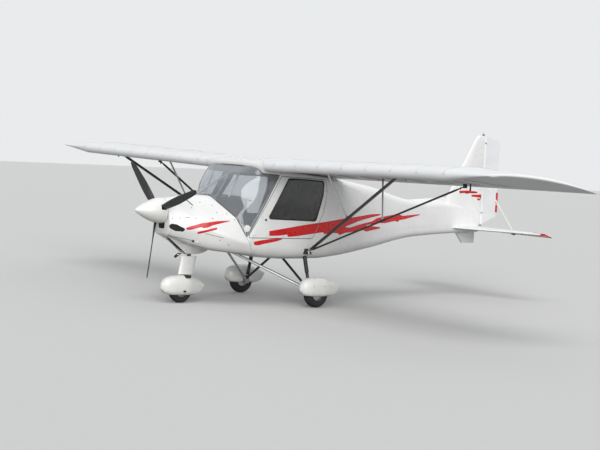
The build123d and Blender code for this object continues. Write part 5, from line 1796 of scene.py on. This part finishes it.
class BuildStruts(bpy.types.Operator):
    """Build the wing struts and the undercarriage legs with their fittings"""

    bl_idname = "aircraft.build_struts"
    bl_label = "Struts and legs"

    def execute(self, context):
        ends, foot = bmesh.new(), bmesh.new()
        for kind, top, chord, thick, low, high in STRUTS:
            tube = strut_mesh(FRONT_FOOT, top, chord, thick, low, high, 0.35)
            both_sides(kind + "_{}_tube", tube, "black_tube", [kind + "_{}"])
            strut_mesh(FRONT_FOOT, top, 0.026, 0.013, high - 0.012, 0.998, 0, ends)
            place = np.array(FRONT_FOOT) + (np.array(top) - FRONT_FOOT) * (high + 0.008)
            tube_mesh(place - (0, 0, 0.016), place + (0, 0, 0.016), 0.0055, ends, steps=12)
            strut_mesh(FRONT_FOOT, top, 0.030, 0.016, 0.004, low + 0.012, 0, foot)
        both_sides("strut_ends_{}", ends, "black_tube", soften=0.0008)
        tube_mesh((0.903, 0.640, 0.655), (0.903, 0.640, 0.725), 0.008, foot, steps=14)
        tube_mesh((0.870, 0.652, 0.690), (0.936, 0.652, 0.690), 0.010, foot, steps=14)
        both_sides("strut_foot_{}", foot, "zinc_bright", soften=0.001)
        self.collars()
        self.gear_tubes()
        self.shock_legs()
        return {"FINISHED"}

    def collars(self):
        """Clamps where the jury struts meet the wing struts and the wing."""
        mesh = bmesh.new()
        reach = np.array((0.016, 0.006, 0.022))
        tops = ((1.565, 1.690, 1.735), (0.720, 1.750, 1.665))
        for (_, top, chord, thick, _, _), y, upper in zip(STRUTS, (1.700, 1.900), tops):
            share = (y - FRONT_FOOT[1]) / (top[1] - FRONT_FOOT[1])
            strut_mesh(FRONT_FOOT, top, chord + 0.007, thick + 0.007, share - 0.012, share + 0.024, 0, mesh)
            box_mesh(upper - reach, upper + reach, mesh)
        both_sides("strut_clamps_{}", mesh, "black_tube", soften=0.001)

    def gear_tubes(self):
        """Undercarriage tubes, knuckles, axles and brake discs."""
        tube = tube_mesh((1.662, 0.055, 0.625), (0.930, 0.656, 0.218), 0.016)
        tube_mesh((0.955, 0.635, 0.232), (0.925, 0.660, 0.215), 0.020, tube)
        both_sides("gear_front_tube_{}", tube, "silver_tube", ["gear_leg_{}"], soften=0.0008)
        tube = tube_mesh((0.915, 0.050, 0.600), (0.892, 0.655, 0.213), 0.016)
        tube_mesh((0.894, 0.630, 0.229), (0.892, 0.660, 0.210), 0.020, tube)
        both_sides("gear_rear_tube_{}", tube, "black_tube", ["gear_leg_{}"], soften=0.0008)
        hub = box_mesh((0.860, 0.642, 0.140), (0.926, 0.688, 0.244))
        x, _, z = MAIN_AXLE
        bars = ((0.684, 0.872, 0.015, 24), (0.688, 0.734, 0.026, 24), (0.862, 0.876, 0.021, 6))
        for inner, outer, radius, steps in bars:
            tube_mesh((x, inner, z), (x, outer, z), radius, hub, steps=steps)
        both_sides("gear_knuckle_{}", hub, "zinc_plate", ["gear_leg_{}"], soften=0.0022)

    def shock_legs(self):
        """Sprung legs with their bellows, brake hoses and the screws of the wheel fairings."""
        top, low = np.array((0.896, 0.545, 0.640)), np.array((0.884, 0.655, 0.255))
        length = float(np.linalg.norm(low - top))
        profile = [(0.02, 0.0), (0.02, 0.022), (0.045, 0.027)]
        for step in np.linspace(0.06, 0.205, 9):
            profile += [(step, 0.0265), (step + 0.005, 0.0245), (step + 0.011, 0.0265)]
        profile += [(0.225, 0.027), (0.235, 0.020), (0.330, 0.020), (0.338, 0.024), (length - 0.010, 0.024)]
        profile += [(length - 0.004, 0.016), (length, 0.0)]
        leg = turned_mesh(profile, top, low - top, 36)
        both_sides("shock_leg_{}", leg, "black_composite", ["shock_legs"])
        hose = along(BRAKE_HOSE, 0.03)
        screws = [((x, MAIN_AXLE[1] + y, z), (0, 1, 0.1)) for x, y, z in FAIRING_SCREWS]
        for name, side in SIDES:
            trim(f"brake_hose_{name}", [hose], 0.0035, "seal_rubber", signs=(side,))
            heads(f"fairing_screws_{name}", screws, 0.0062, 0.006, "zinc_plate", signs=(side,))


# Cabin interior
def slab_mesh(length, width, depth, pull):
    """A cushion before it is stuffed: a rounded block whose sides pull in between its corners."""
    rows = []
    angles = np.linspace(0, 2 * pi, 72, endpoint=False)
    square = np.stack([np.sign(np.cos(angles)) * np.abs(np.cos(angles)) ** 0.36,
                       np.sign(np.sin(angles)) * np.abs(np.sin(angles)) ** 0.36], axis=1)
    for level in np.linspace(-1, 1, 9):
        shrink = 1 - 0.10 * abs(level) ** 3
        x, y = square[:, 0] * length / 2 * shrink, square[:, 1] * width / 2 * shrink
        x = x * (1 - pull * (1 - (2 * y / width) ** 2))
        y = y * (1 - pull * (1 - (2 * x / length) ** 2))
        rows.append(np.stack([x, y, np.full(len(x), level * depth / 2)], axis=1))
    return loft_mesh(rows)


def stuffed(name, mesh, voxel, cap):
    """A cover blown up over its stuffing: remeshed, pressed out by cloth, its moves kept under a cap."""
    data = bpy.data.meshes.new(name)
    mesh.to_mesh(data)
    mesh.free()
    obj = placed(name, data)
    remesh = obj.modifiers.new("remesh", "REMESH")
    remesh.mode = "VOXEL"
    remesh.voxel_size = voxel
    depsgraph = bpy.context.evaluated_depsgraph_get()
    made = bpy.data.meshes.new_from_object(obj.evaluated_get(depsgraph), depsgraph=depsgraph)
    obj.modifiers.remove(remesh)
    obj.data = made
    start = np.array([v.co[:] for v in made.vertices])
    end = start
    cloth = obj.modifiers.new("cloth", "CLOTH")
    cloth.settings.use_pressure = True
    cloth.settings.uniform_pressure_force = 4
    cloth.settings.effector_weights.gravity = 0
    for frame_index in range(1, 21):
        bpy.context.scene.frame_set(frame_index)
    depsgraph = bpy.context.evaluated_depsgraph_get()
    end = np.array([v.co[:] for v in obj.evaluated_get(depsgraph).data.vertices])
    obj.modifiers.remove(cloth)
    bpy.context.scene.frame_set(1)
    move = end - start
    far = np.linalg.norm(move, axis=1, keepdims=True)
    end = start + move * np.minimum(1, cap / np.maximum(far, 1e-9))
    made.vertices.foreach_set("co", end.ravel())
    out = bmesh.new()
    out.from_mesh(made)
    bpy.data.objects.remove(obj)
    bpy.data.meshes.remove(made)
    bpy.data.meshes.remove(data)
    return out


def sew(mesh, lines, depth, width):
    """Press sewn channels into a cushion along lines of constant x or y of its own frame."""
    mesh.normal_update()
    for vert in mesh.verts:
        dip = sum(exp(-(((vert.co[axis] - place) / width) ** 2)) for axis, place in lines)
        vert.co -= vert.normal * depth * min(dip, 1)
    return mesh


SEAT_Y = 0.285
BELT_WIDTH = 0.044
GAUGE_R = 0.040
# Cushions: name, length, width, depth, centre, lean in degrees, and sewn lines as their axis and place
SIDE_SEAMS = ((1, -0.15), (1, 0.15))
SEATS = (
    ("pan", 0.435, 0.440, 0.085, (1.015, SEAT_Y, 0.850), 5, ((0, -0.10), (0, 0.02), (0, 0.14), *SIDE_SEAMS)),
    ("back", 0.600, 0.440, 0.085, (0.748, SEAT_Y, 1.170), 71, ((0, -0.16), (0, 0), (0, 0.16), *SIDE_SEAMS)),
    ("rest", 0.130, 0.260, 0.075, (0.622, SEAT_Y, 1.452), 71, ()),
)


class BuildInterior(bpy.types.Operator):
    """Build the seats with their belts, and the instruments"""

    bl_idname = "aircraft.build_interior"
    bl_label = "Cabin interior"

    def execute(self, context):
        for kind, length, width, depth, centre, lean, lines in SEATS:
            form = stuffed(f"seat_{kind}_form", slab_mesh(length, width, depth, 0.02), 0.009, 0.012)
            sew(form, lines, 0.006, 0.006)
            form.transform(Matrix.Translation(centre) @ Matrix.Rotation(radians(lean), 4, "Y"))
            for obj in both_sides(f"seat_{kind}" + "_{}", form, "seat_cloth", ["seats"]):
                smooth = obj.modifiers.new("smooth", "SUBSURF")
                smooth.levels = smooth.render_levels = 1
        self.shells()
        self.belts()
        self.instruments()
        return {"FINISHED"}

    def shells(self):
        """Thin moulded shells that carry the cushions."""
        outline = np.array([(1.235, 0.806), (0.800, 0.790), (0.735, 0.830), (0.575, 1.500), (0.560, 1.500),
                            (0.716, 0.815), (0.795, 0.770), (1.235, 0.790)])
        rings = [
            np.stack([outline[:, 0], np.full(len(outline), y), outline[:, 1]], axis=1) for y in (0.072, 0.498)
        ]
        piece("seat_shells", with_mirror(loft_mesh(rings)), "bench_grey", soften=0.004)

    def belts(self):
        """Shoulder and lap straps, each with its buckle."""
        strips = bmesh.new()
        for y in (SEAT_Y - 0.095, SEAT_Y + 0.095):
            upper = [(0.560, y, 1.520), (0.620, y, 1.530), (0.690, y, 1.500), (0.820, y, 1.120)]
            join_into(strips, ribbon(along([*upper, (0.870, SEAT_Y, 0.960)], 0.02), BELT_WIDTH))
        for y in (SEAT_Y - 0.215, SEAT_Y + 0.215):
            near = SEAT_Y + (y - SEAT_Y) * 0.4
            lap = [(0.800, y, 0.845), (0.850, y, 0.915), (0.880, near, 0.945), (0.885, SEAT_Y, 0.945)]
            join_into(strips, ribbon(along(lap, 0.02), BELT_WIDTH))
        piece("seat_belts", with_mirror(strips), "webbing", wall=0.002)
        buckle = box_mesh((0.868, SEAT_Y - 0.034, 0.935), (0.892, SEAT_Y + 0.034, 0.975))
        piece("seat_belt_buckles", with_mirror(buckle), "zinc_bright", soften=0.006)

    def instruments(self):
        """Round gauges with bezels, switches and a cover on the panel's rear face."""
        low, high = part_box("instrument_panel")
        x = low[0]
        rings, faces, marks = bmesh.new(), [], []
        inner, outer = GAUGE_R - 0.006, GAUGE_R + 0.003
        bezel = [(-0.010, inner), (-0.010, GAUGE_R), (0.004, outer), (0.004, inner)]
        for z, count in ((high[2] - 0.075, 6), (high[2] - 0.175, 4)):
            for i in range(count):
                y = (i - (count - 1) / 2) * 0.105
                join_into(rings, turned_mesh(bezel, (x, y, z), (1, 0, 0), 32))
                faces.append(((x - 0.001, y, z), (-1, 0, 0)))
                for turn in np.arange(12) * 2 * pi / 12:
                    marks.append(((x - 0.0035, y + 0.026 * cos(turn), z + 0.026 * sin(turn)), (-1, 0, 0)))
        piece("gauge_bezels", rings, "black_tube", soften=0.0006)
        heads("gauge_faces", faces, 0.034, 0.003, "panel_black", signs=(1,), sides=32, top=1.0)
        heads("gauge_marks", marks, 0.0022, 0.0012, "antenna_white", signs=(1,), sides=8)
        switches = [((x - 0.006, -0.30 + 0.04 * i, high[2] - 0.245), (-1, 0, 0.3)) for i in range(7)]
        heads("panel_switches", switches, 0.0045, 0.020, "zinc_bright", signs=(1,))
        cover = [(x + 0.16, high[2] + 0.004), (x - 0.02, high[2] + 0.012), (x - 0.055, high[2] + 0.004)]
        grid = [
            [(px, y * (1 - 0.04 * abs(y)), pz + 0.016 * (1 - (y / 0.44) ** 2)) for px, pz in cover]
            for y in np.linspace(-0.42, 0.42, 25)
        ]
        piece("glare_shield", facing(sheet_mesh(grid), (0, 0, 1)), "panel_black", wall=0.003, soften=0.001)


def ribbon(path, width):
    """A flat strap along a path, its width across the aircraft."""
    path = np.asarray(path, float)
    rows = [path + (0, width / 2 * k, 0) for k in (-1, 0, 1)]
    return sheet_mesh(rows)


# Tail marks and fittings: side views (x, z)
FIN_MARKS = (
    ((-2.287, 1.492), (-2.450, 1.500), (-2.620, 1.492), (-2.715, 1.478), (-2.620, 1.462), (-2.500, 1.462),
     (-2.440, 1.452), (-2.400, 1.464), (-2.300, 1.456)),
    ((-2.549, 1.440), (-2.700, 1.446), (-2.758, 1.452), (-2.756, 1.380), (-2.735, 1.402), (-2.600, 1.412),
     (-2.552, 1.414)),
    ((-2.674, 1.392), (-2.745, 1.386), (-2.742, 1.364), (-2.685, 1.360)),
)


BEACON_COLLAR = 0.018


class BuildTailFittings(bpy.types.Operator):
    """Add the red marks, the tab, the hinges and the beacon of the tail"""

    bl_idname = "aircraft.build_tail_fittings"
    bl_label = "Tail fittings"

    def execute(self, context):
        film = bmesh.new()
        for outline in FIN_MARKS:
            edge = rounded(outline, 0.006)
            lead, thick = fin_at(edge[:, 1])
            behind = np.clip((lead - edge[:, 0]) / (lead - FIN_REAR_X), 0, 1)
            half = section_half(behind, thick, FIN_REAR_THICK)
            ring = [film.verts.new((x, y + 0.0022, z)) for (x, z), y in zip(edge, half)]
            film.faces.new(ring)
        film.normal_update()
        for face in film.faces:
            if face.normal.y < 0:
                face.normal_flip()
        piece("fin_marks", with_mirror(film), "red_film", wall=0.003)
        tab = bmesh.new()
        for low, high in ((1.190, 1.300), (1.318, 1.480)):
            box_mesh((-3.122, -0.0045, low), (-3.082, 0.0045, high), tab)
        piece("rudder_tab", tab, "red_film", body="rudder_body", soften=0.001)
        hinge = bmesh.new()
        x, z = ELEVATOR_AXIS_X, TAIL_Z
        for y in ELEVATOR_HINGES:
            box_mesh((x - 0.010, y - 0.003, z - 0.009), (x + 0.030, y + 0.003, z + 0.009), hinge)
            tube_mesh((x, y - 0.009, z), (x, y + 0.009, z), 0.0045, hinge, steps=12)
        piece("elevator_hinges", with_mirror(hinge), "zinc_plate", soften=0.0008)
        brace = box_mesh((-2.625, 0.842, 0.934), (-2.560, 0.872, 0.957))
        tube_mesh((-2.592, 0.862, 0.925), (-2.592, 0.862, 0.946), 0.009, brace, steps=12)
        box_mesh((-2.700, 0.915, 0.940), (-2.672, 0.935, 0.957), brace)
        piece("brace_fittings", with_mirror(brace), "black_tube", soften=0.0015)
        pin = tube_mesh((RUDDER_AXIS_X, 0, 0.986), (RUDDER_AXIS_X, 0, RUDDER_Z[0]), 0.008, steps=14)
        piece("rudder_foot_pin", pin, "black_tube", soften=0.0008)
        low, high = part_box("beacon")
        cx = (low[0] + high[0]) / 2
        collar = [(0.0, 0.0), (0.0, 0.017), (0.014, 0.017), (BEACON_COLLAR, 0.013), (BEACON_COLLAR, 0.0)]
        piece("beacon_collar", turned_mesh(collar, (cx, 0, low[2]), (0, 0, 1), 32), "black_tube", ["beacon"],
              soften=0.0008)
        tall = high[2] - low[2] - BEACON_COLLAR
        dome = [(0.0, 0.0), (0.0, 0.0125)]
        dome += [(tall * share, r) for share, r in ((0.55, 0.0120), (0.82, 0.0095), (0.95, 0.005), (1, 0.0))]
        lens = turned_mesh(dome, (cx, 0, low[2] + BEACON_COLLAR), (0, 0, 1), 32)
        piece("beacon_dome", lens, "beacon_lens", ["beacon"])
        return {"FINISHED"}


class DressFrame(bpy.types.Operator):
    """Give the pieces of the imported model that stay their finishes"""

    bl_idname = "aircraft.dress_frame"
    bl_label = "Frame finishes"

    def execute(self, context):
        for node, material in NODE_FINISHES.items():
            finish_node(node, material)
        return {"FINISHED"}


# Stage: the floor as the camera sees it and as it lights the aircraft
FLOOR_SEEN = "DCDCDA"
FLOOR_UNSEEN = "5A5A58"
WORLD_LIGHT = 0.40
# Lamps: name, place, strength and angle in degrees
LAMPS = (
    ("key", (5, 6, 14), 0.95, 40), ("fill", (8, 12, 3.2), 2.4, 50), ("front", (16, 2, 6), 0.1, 60),
    ("back", (-12, -6, 12), 0.3, 60),
)


class SetStage(bpy.types.Operator):
    """Set the floor, the lights and the camera"""

    bl_idname = "aircraft.set_stage"
    bl_label = "Stage"

    def seen(self, tree):
        """1 for rays from the camera, or off a mirror or through glass; 0 for the rest."""
        path = add_node(tree, "ShaderNodeLightPath").outputs
        links = {0: path["Is Camera Ray"], 1: path["Is Glossy Ray"]}
        first = add_node(tree, "ShaderNodeMath", links, operation="MAXIMUM")
        links = {0: first.outputs[0], 1: path["Is Transmission Ray"]}
        return add_node(tree, "ShaderNodeMath", links, operation="MAXIMUM").outputs[0]

    def execute(self, context):
        scene = context.scene
        floor = bmesh.new()
        bmesh.ops.create_grid(floor, x_segments=1, y_segments=1, size=60)
        data = bpy.data.meshes.new("floor")
        floor.to_mesh(data)
        floor.free()
        obj = placed("floor", data)
        material = bpy.data.materials.new("floor_paper")
        material.use_nodes = True
        tree = material.node_tree
        shader = tree.nodes["Principled BSDF"]
        tones = {6: srgb(FLOOR_UNSEEN), 7: srgb(FLOOR_SEEN)}
        paint = add_node(tree, "ShaderNodeMix", {0: self.seen(tree)}, tones, data_type="RGBA")
        tree.links.new(paint.outputs[2], shader.inputs["Base Color"])
        shader.inputs["Roughness"].default_value = 0.9
        data.materials.append(material)

        world = bpy.data.worlds.new("studio")
        world.use_nodes = True
        tree = world.node_tree
        light = tree.nodes["Background"]
        light.inputs["Color"].default_value = srgb("E6EAEE")
        light.inputs["Strength"].default_value = WORLD_LIGHT
        shown = add_node(tree, "ShaderNodeBackground", values={"Color": srgb("E9EBEC"), "Strength": 1.0})
        links = {0: self.seen(tree), 1: light.outputs[0], 2: shown.outputs[0]}
        both = add_node(tree, "ShaderNodeMixShader", links)
        tree.links.new(both.outputs[0], tree.nodes["World Output"].inputs["Surface"])
        scene.world = world
        for name, place, strength, angle in LAMPS:
            lamp = bpy.data.lights.new(name, "SUN")
            lamp.energy = strength
            lamp.angle = radians(angle)
            light = placed(name, lamp)
            light.location = place
            light.rotation_euler = Vector(place).to_track_quat("Z", "Y").to_euler()

        level = cos(CAMERA_PITCH)
        forward = Vector((cos(CAMERA_YAW) * level, sin(CAMERA_YAW) * level, sin(CAMERA_PITCH)))
        right = Vector((sin(CAMERA_YAW), -cos(CAMERA_YAW), 0))
        up = right.cross(forward)
        across = cos(CAMERA_ROLL) * right + sin(CAMERA_ROLL) * up
        above = cos(CAMERA_ROLL) * up - sin(CAMERA_ROLL) * right
        camera = bpy.data.cameras.new("photo_view")
        camera.lens = CAMERA_LENS
        camera.sensor_width = 36
        camera.clip_end = 200
        view = placed("photo_view", camera)
        turn = Matrix((across, above, -forward)).transposed().to_4x4()
        view.matrix_world = Matrix.Translation(CAMERA_PLACE) @ turn
        scene.camera = view
        scene.view_settings.view_transform = "Standard"
        return {"FINISHED"}


class AircraftPanel(bpy.types.Panel):
    """The aircraft's pieces and their settings"""

    bl_idname = "VIEW3D_PT_aircraft"
    bl_label = "Ultralight aircraft"
    bl_space_type = "VIEW_3D"
    bl_region_type = "UI"
    bl_category = "Aircraft"

    def draw(self, context):
        for group in (context.scene.aircraft_sizes, context.scene.aircraft_finish):
            for key in group.bl_rna.properties.keys():
                if key not in ("rna_type", "name"):
                    self.layout.prop(group, key)
        for step in STEPS:
            self.layout.operator(step.bl_idname)


STEPS = (
    DressFrame, BuildCowl, BuildCabin, BuildStripes, BuildDoors, BuildTrim, BuildInterior, BuildWings,
    BuildWingFittings, BuildStruts, BuildTail, BuildTailFittings, BuildWheels, BuildPropeller, SetStage,
)
CLASSES = (AircraftFinish, AircraftSizes, *STEPS, AircraftPanel)


def register():
    """Register the classes and the scene's settings."""
    for cls in CLASSES:
        bpy.utils.register_class(cls)
    bpy.types.Scene.aircraft_finish = bpy.props.PointerProperty(type=AircraftFinish)
    bpy.types.Scene.aircraft_sizes = bpy.props.PointerProperty(type=AircraftSizes)


def unregister():
    """Take them back."""
    del bpy.types.Scene.aircraft_sizes
    del bpy.types.Scene.aircraft_finish
    for cls in reversed(CLASSES):
        bpy.utils.unregister_class(cls)


def main():
    """Build every piece in order."""
    register()
    make_finishes()
    TREES.update(trim=trim_tree(), heads=heads_tree())
    for step in STEPS:
        group, name = step.bl_idname.split(".")
        getattr(getattr(bpy.ops, group), name)()


if __name__ == "__main__":
    main()
